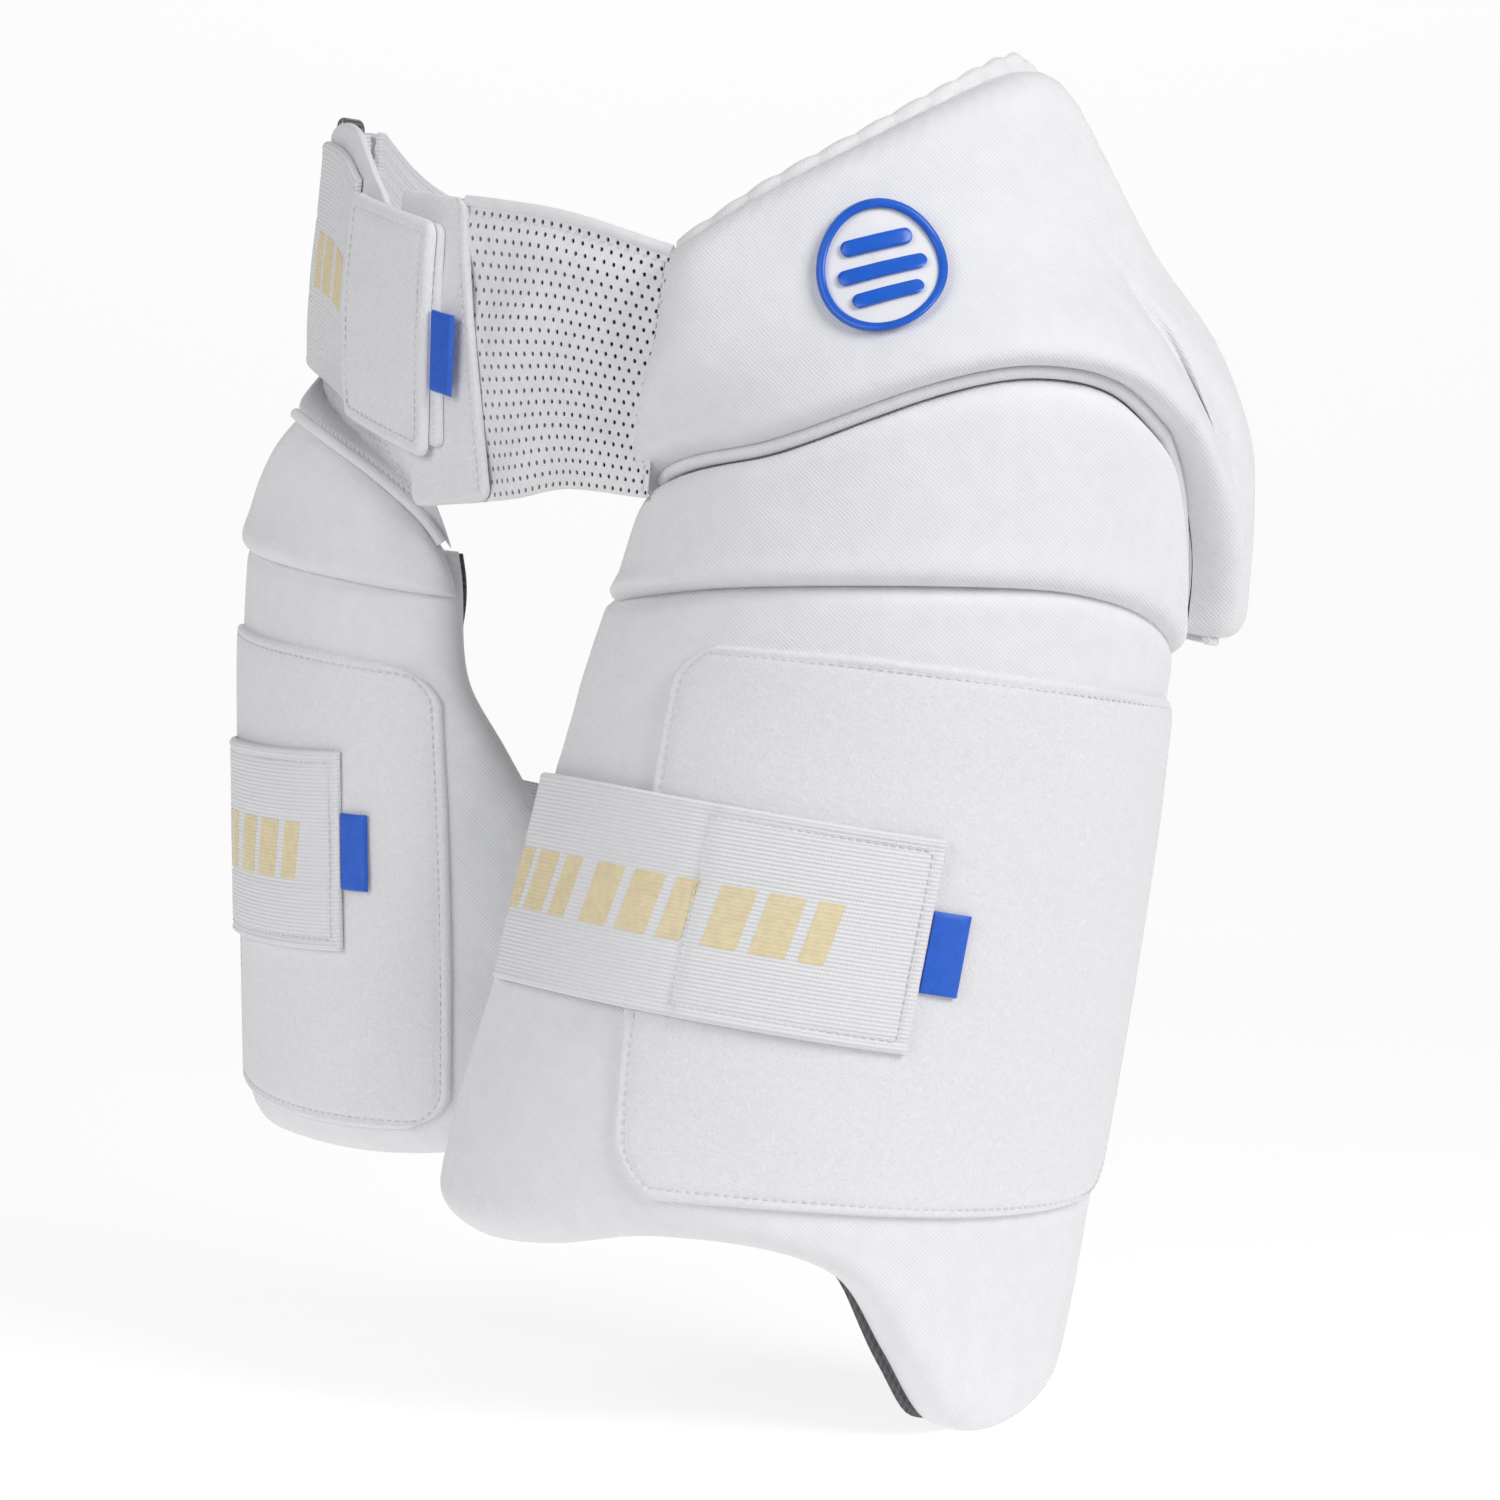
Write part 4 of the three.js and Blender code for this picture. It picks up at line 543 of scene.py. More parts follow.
# Materials
class Paint:
    """One procedural material."""

    def __init__(self, name, color, roughness, sheen=0.0, specular=0.3, metallic=0.0):
        self.material = bpy.data.materials.new(name)
        self.material.use_nodes = True
        self.tree = self.material.node_tree
        self.shader = self.tree.nodes["Principled BSDF"]
        self.color = color
        self.shader.inputs["Base Color"].default_value = (*color, 1)
        self.shader.inputs["Roughness"].default_value = roughness
        self.shader.inputs["Metallic"].default_value = metallic
        self.shader.inputs["Specular IOR Level"].default_value = specular
        self.shader.inputs["Sheen Weight"].default_value = sheen
        self.shader.inputs["Sheen Roughness"].default_value = 0.5
        self.where = self.tree.nodes.new("ShaderNodeTexCoord")
        self.heights = []

    def node(self, kind, **settings):
        made = self.tree.nodes.new(kind)
        for key, value in settings.items():
            if key.startswith("in_"):
                made.inputs[int(key[3:])].default_value = value
            else:
                setattr(made, key, value)
        return made

    def link(self, a, b):
        self.tree.links.new(a, b)

    def scaled(self, space, scale, turn=0.0):
        mapping = self.node("ShaderNodeMapping")
        mapping.inputs["Scale"].default_value = scale
        mapping.inputs["Rotation"].default_value = (0, 0, turn)
        self.link(self.where.outputs[space], mapping.inputs["Vector"])
        return mapping.outputs["Vector"]

    def noise(self, size, detail=2.0, stretch=(1, 1, 1), space="Object", distortion=0.0):
        made = self.node("ShaderNodeTexNoise")
        made.inputs["Scale"].default_value = 1
        made.inputs["Detail"].default_value = detail
        made.inputs["Distortion"].default_value = distortion
        self.link(self.scaled(space, tuple(s / (size * MM) for s in stretch)), made.inputs["Vector"])
        return made.outputs["Fac"]

    def lines(self, pitch, turn=0.0, distortion=0.0):
        """Even ridges across the cloth's own width, turned by an angle."""
        made = self.node("ShaderNodeTexWave", wave_type="BANDS", bands_direction="X", wave_profile="SIN")
        made.inputs["Scale"].default_value = 2 * math.pi / 20 / (pitch * MM)
        made.inputs["Distortion"].default_value = distortion
        made.inputs["Detail"].default_value = 1
        self.link(self.scaled("UV", (1, 1, 1), turn), made.inputs["Vector"])
        return made.outputs["Fac"]

    def twill(self, pitch, wobble=0.5):
        """Fine diagonal ridges that run down towards the wearer's left."""
        across = self.node("ShaderNodeVectorMath", operation="DOT_PRODUCT")
        turn = 2 * math.pi / (pitch * MM) / math.sqrt(2)
        across.inputs[1].default_value = (turn * math.cos(PAD_TURN), turn * math.sin(PAD_TURN), turn)
        self.link(self.where.outputs["Object"], across.inputs[0])
        phase = self.math("ADD", across.outputs["Value"], self.math("MULTIPLY", self.noise(6), wobble * 6))
        return self.math("MULTIPLY_ADD", self.math("SINE", phase, 0), 0.5, 0.5)

    def cells(self, size, space="UV"):
        made = self.node("ShaderNodeTexVoronoi", feature="F1")
        made.inputs["Scale"].default_value = 1
        made.inputs["Randomness"].default_value = 0.25
        self.link(self.scaled(space, (1 / (size * MM),) * 3), made.inputs["Vector"])
        return made.outputs["Distance"]

    def math(self, operation, *values):
        made = self.node("ShaderNodeMath", operation=operation)
        for slot, value in enumerate(values):
            if isinstance(value, (int, float)):
                made.inputs[slot].default_value = value
            else:
                self.link(value, made.inputs[slot])
        return made.outputs[0]

    def bump(self, height, depth, strength=1.0):
        """Adds relief of that depth in millimetres."""
        made = self.node("ShaderNodeBump")
        made.inputs["Strength"].default_value = strength
        made.inputs["Distance"].default_value = depth * MM
        self.link(height, made.inputs["Height"])
        if self.heights:
            self.link(self.heights[-1], made.inputs["Normal"])
        self.heights.append(made.outputs["Normal"])
        self.link(made.outputs["Normal"], self.shader.inputs["Normal"])
        return self

    def tint(self, fac, low, high, from_=0.3, to=0.7):
        """Colour that varies between two shares of the material's own colour."""
        ramp = self.node("ShaderNodeValToRGB")
        ramp.color_ramp.elements[0].position = from_
        ramp.color_ramp.elements[1].position = to
        ramp.color_ramp.elements[0].color = (*[c * low for c in self.color], 1)
        ramp.color_ramp.elements[1].color = (*[min(1, c * high) for c in self.color], 1)
        self.link(fac, ramp.inputs["Fac"])
        self.link(ramp.outputs["Color"], self.shader.inputs["Base Color"])
        return self


WHITE = (0.79, 0.79, 0.81)

cover = Paint("cover_twill", WHITE, 0.82, sheen=0.15)
twill = cover.twill(1.1)
cover.tint(cover.math("ADD", cover.math("MULTIPLY", twill, 0.35), cover.math("MULTIPLY", cover.noise(9), 0.65)),
           0.955, 1.02)
cover.bump(cover.noise(7, detail=3), 0.25).bump(twill, 0.09).bump(cover.noise(0.9, detail=2), 0.07)

brushed = Paint("brushed_loops", WHITE, 0.92, sheen=0.3, specular=0.15)
nap = brushed.noise(1.5, detail=4, distortion=1.6)
brushed.tint(nap, 0.93, 1.03)
brushed.bump(brushed.noise(6, detail=2), 0.2).bump(nap, 0.28)

knit = Paint("mesh_knit", (0.81, 0.81, 0.835), 0.55, sheen=0.1, specular=0.4)
knit.tint(knit.noise(4), 0.96, 1.02)
knit.bump(knit.lines(0.9, distortion=0.3), 0.06).bump(knit.noise(0.7), 0.05)

elastic = Paint("ribbed_elastic", (0.8, 0.8, 0.825), 0.7, sheen=0.12)
ribs = elastic.lines(1.5, turn=math.radians(90), distortion=0.25)
elastic.tint(elastic.math("ADD", elastic.math("MULTIPLY", ribs, 0.5), elastic.math("MULTIPLY",
             elastic.noise(2.0, stretch=(1, 1, 1)), 0.5)), 0.93, 1.02)
elastic.bump(ribs, 0.22).bump(elastic.lines(0.8, distortion=1.5), 0.06)

# Dark grey spacer knit: the thigh linings' own colour, and painted shade where it backs the front mesh holes.
spacer_and_shade = Paint("spacer_knit_and_painted_shade", (0.1, 0.102, 0.108), 0.9, sheen=0.2, specular=0.2)
hive = spacer_and_shade.cells(2.6)
spacer_and_shade.tint(hive, 0.55, 1.25, 0.1, 0.6)
spacer_and_shade.bump(hive, 0.5).bump(spacer_and_shade.noise(0.8), 0.1)

quilt = Paint("quilted_knit", (0.78, 0.78, 0.795), 0.85, sheen=0.2)
quilt.tint(quilt.noise(5), 0.95, 1.02)
quilt.bump(quilt.cells(1.8), 0.18).bump(quilt.noise(0.8), 0.06)

satin = Paint("satin_label", (0.006, 0.105, 0.6), 0.42, sheen=0.1, specular=0.5)
satin.tint(satin.noise(3), 0.9, 1.08)
satin.bump(satin.lines(0.45, turn=math.radians(90)), 0.04)

rubber_blue = Paint("moulded_blue", (0.006, 0.11, 0.6), 0.33, specular=0.5)
rubber_blue.tint(rubber_blue.noise(6), 0.93, 1.06)
rubber_blue.bump(rubber_blue.noise(1.2), 0.03)

rubber_white = Paint("moulded_white", (0.83, 0.83, 0.845), 0.38, specular=0.45)
rubber_white.tint(rubber_white.noise(12), 0.97, 1.01)
rubber_white.bump(rubber_white.noise(7), 0.25).bump(rubber_white.noise(1.2), 0.02)

cream = Paint("printed_cream", (0.77, 0.66, 0.43), 0.6, specular=0.35)
cream.tint(cream.noise(3), 0.93, 1.04)
cream.bump(cream.lines(1.5, turn=math.radians(90), distortion=0.25), 0.08)

thread = Paint("sewing_thread", (0.72, 0.72, 0.745), 0.6, sheen=0.2)
thread.tint(thread.noise(1.0), 0.9, 1.05)
thread.bump(thread.noise(0.4), 0.05)

metal = Paint("satin_steel", (0.32, 0.33, 0.34), 0.32, metallic=1.0)
metal.tint(metal.noise(4), 0.85, 1.1)
metal.bump(metal.noise(0.8), 0.02)


def finish_piece(obj, paint, nodes=(), soft=None):
    obj.data.materials.append(paint.material)
    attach(obj, "root")
    if nodes:
        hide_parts(*nodes)
    if soft == "sheet":
        width, length, area = obj["flat_w"], obj["flat_l"], obj["flat_a"]
        area = min(area, width * length)
        max(area, 0.31 * width * length)
    return obj


# Hip guard
def build_hip():
    width, height = span_of(hip_place)
    us = stations(width, 2.2, 24, 14, 9)
    vs = stations(height, 2.0, 16, 13, 9)
    creases = [(((0.655, 0.62), (0.70, 0.78), (0.735, 0.97)), 0.9, 8),
               (((0.70, 0.55), (0.74, 0.72), (0.78, 0.86)), 0.7, 9)]

    def outer(x, y):
        full = mix(0.25, 1, swell(x, 24, 2.2) * swell(width - x, 11, 2.3) * swell(y, 15, 2.2)
                   * swell(height - y, 11, 2.3))
        level = HIP_BASE + HIP_THICKNESS * full
        level = level + 0.45 * waves(x, y, 60, 3)
        near = np.exp(-np.minimum.reduce([x, y]) / 9.0)
        level = level + 0.5 * near * np.sin(2 * math.pi * (x + y) / 8.5 + 1.3 * waves(x, y, 30, 5))
        hem = np.exp(-(height - y) / 10.0)
        level = level + 0.35 * hem * waves(x, y, 11, 8)
        for points, depth, wide in creases:
            line = [(a * width, b * height) for a, b in points]
            level = level - depth * groove(line_distance(x, y, line), wide)
        return level

    guard = shell("hip_guard_cover", hip_place, us, vs, outer, lambda x, y: np.full_like(x, HIP_BASE) - 0.8)
    finish_piece(guard, cover, ["hip_guard"], "padded")

    rise = HIP_LINING_RISE
    channel = 17.0
    lus = stations(width, 1.3)
    lvs = np.concatenate([np.linspace(-rise, 0, 9)[:-1], stations(height, 3.0)])

    def lobes(x):
        return np.abs(np.sin(math.pi * (x + 3.5 * np.sin(x / 31.0)) / channel)) ** 0.9

    def lining_place(u, v, out):
        above = np.minimum(v, 0) * (0.72 + 0.16 * lobes(u * width))
        return hip_place(u, np.where(v < 0, above, v), out)

    def lining_outer(x, y):
        top = swell(y + rise * height, 5, 2)
        return mix(1.6, 4.4, top * (0.6 + 0.4 * lobes(x)))

    def lining_inner(x, y):
        top = swell(y + rise * height, 5, 2)
        rows = np.abs(np.sin(math.pi * y / 26.0)) ** 0.5
        return 1.6 - 1.7 * top * (0.4 + 0.6 * lobes(x) * rows)

    lining = shell("hip_quilted_lining", lining_place, lus, lvs, lining_outer, lining_inner)
    finish_piece(lining, quilt, ["hip_lining"], "sheet")

    t = np.linspace(0.71, 0.985, 60)
    rim = hip_place(t, np.ones_like(t), HIP_BASE + HIP_THICKNESS * 0.34) + np.array([0, 0, -1.1])
    finish_piece(tube("hip_hem_cord", rim, 1.7, 12), cover, ["hip_edge_piping"])

    seams = Stitches("hip_stitching")
    n = 90
    level = HIP_BASE + HIP_THICKNESS * 0.2 + 2.2
    seams.row(hip_place, np.full(n, 1.6 / width), np.linspace(0.02, 0.96, n), level + 0.4)
    seams.row(hip_place, np.linspace(0.03, 0.95, 3 * n), np.full(3 * n, 1.6 / height), level + 0.6, 3.6)
    finish_piece(seams.make(), thread)


def badge_layout():
    """A flat layout in millimetres laid on the hip guard, round the middle of the badge."""
    out = HIP_BASE + HIP_THICKNESS
    nudge = 0.002
    centre = hip_place(BADGE_ACROSS, BADGE_DOWN, out)

    def steps_at(u, v):
        point = hip_place(u, v, out)
        return point, (hip_place(u + nudge, v, out) - point) / nudge, (hip_place(u, v + nudge, out) - point) / nudge

    _, across, down = steps_at(BADGE_ACROSS, BADGE_DOWN)
    normal = np.cross(down, across)
    normal /= np.linalg.norm(normal)
    level = np.cross([0, 0, 1], normal)
    level /= np.linalg.norm(level)
    up = np.cross(normal, level)

    def place(x, y, lift):
        x, y, lift = np.broadcast_arrays(np.asarray(x, float) * 0.95, np.asarray(y, float) * 1.06, lift)
        u, v = np.full(x.shape, BADGE_ACROSS), np.full(x.shape, BADGE_DOWN)
        for _ in range(6):
            point, across, down = steps_at(u, v)
            away = point - centre
            miss_x, miss_y = x - away @ level, y - away @ up
            a, b, c, d = across @ level, down @ level, across @ up, down @ up
            u = u + (d * miss_x - b * miss_y) / (a * d - b * c)
            v = v + (a * miss_y - c * miss_x) / (a * d - b * c)
        return hip_place(u, v, out + lift)
    return place


def lathe(name, place, profile, sides, angle=60, shape=None):
    """Rings of a profile (radius, lift) round the badge's middle; shape bends a ring to an outline."""
    turn = np.linspace(0, 2 * math.pi, sides, endpoint=False)
    points = []
    for radius, lift in profile:
        if shape is None:
            x, y = radius * np.cos(turn), radius * np.sin(turn)
        else:
            x, y = shape(radius, turn)
        points.append(place(x, y, lift))
    count = len(profile)
    at = np.arange(count * sides).reshape(count, sides)
    faces = [(int(at[i, k]), int(at[i, (k + 1) % sides]), int(at[i + 1, (k + 1) % sides]), int(at[i + 1, k]))
             for i in range(count - 1) for k in range(sides)]
    faces.append(tuple(int(q) for q in at[0][::-1]))
    faces.append(tuple(int(q) for q in at[-1]))
    return mesh_object(name, np.concatenate(points), faces, angle=angle)


def build_badge():
    place = badge_layout()
    r = BADGE_RADIUS
    disc = [(r - 0.4, -0.6), (r, 0.2), (r, 1.9), (r - 0.5, 2.4), (r - 3, 2.3), (r * 0.75, 2.35), (r * 0.5, 2.5),
            (r * 0.25, 2.55), (0.4, 2.55)]
    finish_piece(lathe("badge_face", place, disc, 72), rubber_white, ["hip_badge"])
    rim = [(r - 2.8, 2.2), (r - 2.7, 3.9), (r - 2.2, 4.5), (r - 0.6, 4.5), (r + 0.1, 3.9), (r + 0.35, 2.2),
           (r + 0.35, 0.9), (r - 0.4, 0.7), (r - 2.8, 2.0)]
    turn = np.linspace(0, 2 * math.pi, 96, endpoint=False)
    points = np.concatenate([place(a * np.cos(turn), a * np.sin(turn), b) for a, b in rim[:-1]])
    at = np.arange(8 * 96).reshape(8, 96)
    faces = [(int(at[i, k]), int(at[i, (k + 1) % 96]), int(at[(i + 1) % 8, (k + 1) % 96]), int(at[(i + 1) % 8, k]))
             for i in range(8) for k in range(96)]
    finish_piece(mesh_object("badge_raised_rim", points, [f[::-1] for f in faces], angle=70), rubber_blue,
                 ["badge_rim"])
    for index, share in enumerate((0.56, 0.7, 0.56)):
        half, tall, middle = r * share, 2.7, (1 - index) * 9.4

        def tilted(x, y, lift, middle=middle):
            y = y + middle
            return place(x * math.cos(BADGE_TILT) - y * math.sin(BADGE_TILT),
                         x * math.sin(BADGE_TILT) + y * math.cos(BADGE_TILT), lift)

        def stadium(radius, turn, half=half):
            end = np.clip(np.cos(turn) * 8, -1, 1) * (half - tall)
            return end * min(1.0, radius / tall) + radius * np.cos(turn), radius * np.sin(turn)

        bar = [(tall, 1.8), (tall, 3.9), (tall - 0.25, 4.4), (tall - 0.8, 4.65), (0.8, 4.7), (0.1, 4.7)]
        finish_piece(lathe(f"badge_mark_{index + 1}", tilted, bar, 64, shape=stadium), rubber_blue,
                     [f"badge_bar_{index + 1}"])


HOLE_PITCH_ACROSS = 3.7
HOLE_PITCH_DOWN = 4.2
HOLE_HALF_WIDTH = 0.66
HOLE_HALF_HEIGHT = 0.95


def perforated(name, place, level, thickness, wrinkle, solid=lambda u, v: False):
    """A sheet with staggered upright holes cut right through it."""
    width, height = span_of(place)
    columns, rows = round(width / HOLE_PITCH_ACROSS), round(height / HOLE_PITCH_DOWN)
    spin = np.arange(8) * math.pi / 4
    square = np.array([(1, 0), (1, 1), (0, 1), (-1, 1), (-1, 0), (-1, -1), (0, -1), (1, -1)]) / 2
    key, uv, faces = {}, [], []

    def put(u, v):
        k = (round(u, 6), round(v, 6))
        if k not in key:
            key[k] = len(uv)
            uv.append((u, v))
        return key[k]

    tops, walls = [], []
    for j in range(rows):
        for i in range(columns):
            cu, cv = (i + 0.5) / columns, (j + 0.5) / rows
            outline = [put(cu + a / columns, cv + b / rows) for a, b in square]
            if solid(cu, cv):
                tops.append(outline)
                continue
            shift = 0.25 if j % 2 == 0 else -0.25
            hole = [put(cu + shift / columns + HOLE_HALF_WIDTH / width * math.cos(a),
                        cv + HOLE_HALF_HEIGHT / height * math.sin(a)) for a in spin]
            for k in range(8):
                m = (k + 1) % 8
                tops.append([outline[k], outline[m], hole[m], hole[k]])
                walls.append((hole[k], hole[m]))
    uv = np.array(uv)
    x, y = uv[:, 0] * width, uv[:, 1] * height
    lift = wrinkle(x, y)
    outer = place(uv[:, 0], uv[:, 1], level + thickness + lift)
    inner = place(uv[:, 0], uv[:, 1], level + lift)
    count = len(uv)
    edge = {}
    for face in tops:
        for a, b in zip(face, face[1:] + face[:1]):
            edge[(a, b)] = edge.get((a, b), 0) + 1
    faces = [tuple(face[::-1]) for face in tops]
    faces += [tuple(q + count for q in face) for face in tops]
    for (a, b) in edge:
        if (b, a) not in edge:
            faces.append((a, b, b + count, a + count))
    both = np.stack([x, y], -1)
    made = mesh_object(name, np.concatenate([outer, inner]), faces, np.concatenate([both, both]), angle=45)
    cut = len(walls) / 8 * math.pi * HOLE_HALF_WIDTH * HOLE_HALF_HEIGHT
    us, vs = np.meshgrid(np.linspace(0, 1, 30), np.linspace(0, 1, 30))
    grid = place(us, vs, level)
    cross = np.cross(grid[1:, 1:] - grid[:-1, :-1], grid[1:, :-1] - grid[:-1, 1:])
    whole = np.linalg.norm(cross, axis=-1).sum() / 2
    made["flat_w"], made["flat_l"], made["flat_a"] = width * MM, height * MM, (whole - cut) * MM * MM
    return made


def mesh_backing_painted_shade(name, place, level, wrinkle):
    """The inner layer that shows through the holes; its dark colour is painted shade."""
    width, height = span_of(place)
    within = lambda u, v, out: place(mix(0.012, 0.988, u), mix(0.012, 0.988, v), out)
    backing = shell(name, within, stations(width, 3), stations(height, 3),
                    lambda x, y: level + 0.7 + wrinkle(x, y), lambda x, y: level + wrinkle(x, y))
    finish_piece(backing, spacer_and_shade, soft="sheet")


def build_waist():
    mesh_place = bounded(on_waist, FRONT_MESH_SIDES, FRONT_MESH_ENDS, FRONT_MESH_HEIGHT)
    width, height = span_of(mesh_place)

    def wrinkle(x, y):
        fade = smooth(x / 10) * smooth((width - x) / 10) * smooth(y / 12) * smooth((height - y) / 8)
        folds = 0.75 * np.sin(y / 5.6 + 0.8 * np.sin(x / 17.0)) * (0.4 + 0.6 * np.sin(y / 31.0 + x / 60.0) ** 2)
        return fade * (folds + 1.3 * waves(x, y, 38, 21))

    front = perforated("front_mesh", mesh_place, MESH_THICKNESS, 1.0, wrinkle)
    finish_piece(front, knit, ["front_mesh_panel"], "sheet")
    # The backing's dark colour is painted shade seen through the holes.
    mesh_backing_painted_shade("front_mesh_inner_layer_painted_shade", mesh_place, MESH_THICKNESS - 1.1, wrinkle)
    t = np.linspace(0.13, 1.0, 70)
    top = mesh_place(t, np.zeros_like(t), MESH_THICKNESS * 1.6) + np.array([0, 0, 1.6])
    normal = mesh_place(t, np.zeros_like(t), 9) - mesh_place(t, np.zeros_like(t), 8)
    hem = tube("front_mesh_hem", top, 1.7, 14, flat=1.25, normal=np.cross(np.gradient(top, axis=0), normal))
    finish_piece(hem, knit, ["mesh_top_hem"])

    landing = rounded(bounded(on_waist, LANDING_SIDES, LANDING_ENDS, FRONT_MESH_HEIGHT), 5)
    lw, lh = span_of(landing)
    strip = shell("landing_strip_cloth", landing, stations(lw, 1.5, 3, 3, 4), stations(lh, 2, 4, 3, 4),
                  lambda x, y: LANDING_BASE + WEBBING_THICKNESS * mix(0.3, 1, swell(edge_distance(x, y, lw, lh), 2.5))
                  + 0.35 * waves(x, y, 22, 31) - 0.3 * groove(lw - x - 3.2, 1.0),
                  lambda x, y: np.full_like(x, LANDING_BASE) - 0.5)
    finish_piece(strip, brushed, ["landing_strip"], "sheet")

    gusset = bounded(on_waist, SIDE_MESH_SIDES, SIDE_MESH_ENDS, FRONT_MESH_HEIGHT)
    side = sewn(gusset, lambda u, out: beside(inner_yoke_place, u, INNER_CORD_WIDTH - 0.8,
                                              out + INNER_YOKE_BASE + TOUCH_GAP - GUSSET_BASE), 0.5)
    sw, sh = span_of(side)
    sag = lambda x, y: 0.35 * waves(x, y, 20, 41)
    panel = perforated("side_mesh", side, GUSSET_BASE, 1.0, sag, lambda u, v: u > 0.86)
    finish_piece(panel, knit, ["side_mesh_panel"], "sheet")

    near = lambda x, w: 1 - smooth(x / w / 0.12)
    under = bounded(on_waist, UNDERLAY_SIDES, UNDERLAY_ENDS, BELT_HEIGHT)
    uw, uh = span_of(under)
    base = lambda x: mix(LANDING_BASE, RING_OUT - FOLD_REACH, near(x, uw))
    piece = shell("belt_underlay_cloth", under, stations(uw, 2, 0, 2, 4), stations(uh, 2, 3, 3, 4),
                  lambda x, y: base(x) + WEBBING_THICKNESS * mix(0.3, 1, swell(edge_distance(x, y, uw, uh, "trb"), 2.5))
                  + 0.25 * waves(x, y, 24, 51), lambda x, y: base(x) + 0.1 * waves(x, y, 24, 51))
    finish_piece(piece, brushed, ["belt_underlay"], "sheet")

    strap = bounded(on_waist, STRAP_SIDES, STRAP_ENDS, BELT_HEIGHT)
    bw, bh = span_of(strap)
    level = lambda x: mix(STRAP_BASE, RING_OUT + FOLD_REACH - WEBBING_THICKNESS, near(x, bw))
    band = lambda y: groove(y - bh * 0.33, 0.9) + groove(y - bh * 0.67, 0.9)

    def strap_outer(x, y):
        near = edge_distance(x, y, bw, bh, "tb")
        return (level(x) + WEBBING_THICKNESS * mix(0.4, 1.15, swell(near, 2.2)) + 0.3 * groove(near - 2, 1.6)
                - 0.22 * band(y) + 0.2 * waves(x, y, 30, 61))

    piece = shell("waist_strap_elastic", strap, stations(bw, 2), stations(bh, 1.2, 3, 3, 4), strap_outer,
                  lambda x, y: level(x) + 0.1 * waves(x, y, 30, 61))
    finish_piece(piece, elastic, ["waist_strap"], "sheet")

    backing = rounded(bounded(on_waist, TAB_BACKING_SIDES, TAB_BACKING_ENDS, BELT_HEIGHT), 4)
    kw, kh = span_of(backing)
    piece = shell("waist_tab_underside", backing, stations(kw, 2, 3, 3, 4), stations(kh, 2, 3, 3, 4),
                  lambda x, y: STRAP_BASE + WEBBING_THICKNESS * mix(0.35, 1, swell(edge_distance(x, y, kw, kh), 2.2)),
                  lambda x, y: np.full_like(x, STRAP_BASE) - 0.5)
    finish_piece(piece, brushed, ["waist_tab_backing"], "sheet")

    tab = rounded(bounded(on_waist, TAB_SIDES, TAB_ENDS, BELT_HEIGHT), 5)
    tw, th = span_of(tab)
    piece = shell("waist_tab_cloth", tab, stations(tw, 1.2, 4, 4, 6), stations(th, 1.2, 4, 4, 6),
                  lambda x, y: TAB_BASE + TAB_THICKNESS * mix(0.15, 1.1, swell(edge_distance(x, y, tw, th), 3))
                  - 0.45 * groove(edge_distance(x, y, tw, th) - 4.8, 0.9) + 0.3 * waves(x, y, 26, 71),
                  lambda x, y: np.full_like(x, TAB_BASE) - 0.3)
    finish_piece(piece, brushed, ["waist_tab"], "sheet")

    label = bounded(on_waist, WAIST_LABEL_SIDES, WAIST_LABEL_ENDS, LABEL_HEIGHT)
    fw, fh = span_of(label)
    piece = shell("waist_label_satin", label, stations(fw, 0.8, 1, 2, 3), stations(fh, 1.5, 0.6, 0.6, 2),
                  lambda x, y: TAB_BASE + LABEL_THICKNESS * mix(0.4, 1, swell(edge_distance(x, y, fw, fh, "tbr"), 1))
                  + 0.5 * np.sin(x / fw * 2), lambda x, y: TAB_BASE + 0.5 * np.sin(x / fw * 2))
    finish_piece(piece, satin, ["waist_label"], "sheet")

    cad_belt = bounded(on_waist, BACK_BELT_SIDES, BACK_BELT_ENDS, BACK_BELT_HEIGHT)
    belt = lambda u, v, out: cad_belt(u * 1.013, v, out)
    ew, eh = span_of(belt)

    def belt_level(x):
        behind = mix(-WEBBING_THICKNESS - 7, WEBBING_THICKNESS, smooth(x / ew / 0.2))
        return mix(behind, RING_OUT - FOLD_REACH, smooth((x / ew - 0.9) / 0.1))

    ridges = lambda y: 0.32 * np.sin(2 * math.pi * y / 5.2)
    piece = shell("back_belt_elastic", belt, stations(ew, 3), stations(eh, 0.9, 2, 2, 4),
                  lambda x, y: belt_level(x) + WEBBING_THICKNESS * mix(0.4, 1, swell(edge_distance(x, y, ew, eh, "tb"), 2))
                  + ridges(y), lambda x, y: belt_level(x) - ridges(y) * 0.8)
    finish_piece(piece, elastic, ["back_belt"], "sheet")

    seams = Stitches("waist_stitching")
    for a, b in border(4.8, 4.8, tw, th):
        seams.row(tab, a, b, TAB_BASE + TAB_THICKNESS * 1.02, 3.3)
    seams.row(landing, np.full(60, 1 - 3.2 / lw), np.linspace(0.03, 0.97, 60), LANDING_BASE + WEBBING_THICKNESS - 0.05)
    seams.row(mesh_place, np.linspace(0.2, 0.99, 60), np.full(60, 3.4 / height), MESH_THICKNESS + 1.2, 3.6)
    seams.row(mesh_place, np.full(60, 1 - 2.2 / width), np.linspace(0.03, 0.98, 60), MESH_THICKNESS + 1.2, 3.6)
    seams.row(backing, np.full(40, 1 - 2.4 / kw), np.linspace(0.05, 0.95, 40), STRAP_BASE + WEBBING_THICKNESS)
    seams.row(strap, np.linspace(0.1, 1.0, 60), np.full(60, 4.4 / bh), STRAP_BASE + WEBBING_THICKNESS * 1.15)
    finish_piece(seams.make(), thread)
    blocks("waist_strap_print", strap, bw, bh, strap_outer, (0.5, 0.99), (0.38, 0.62), 12.5, -0.05)


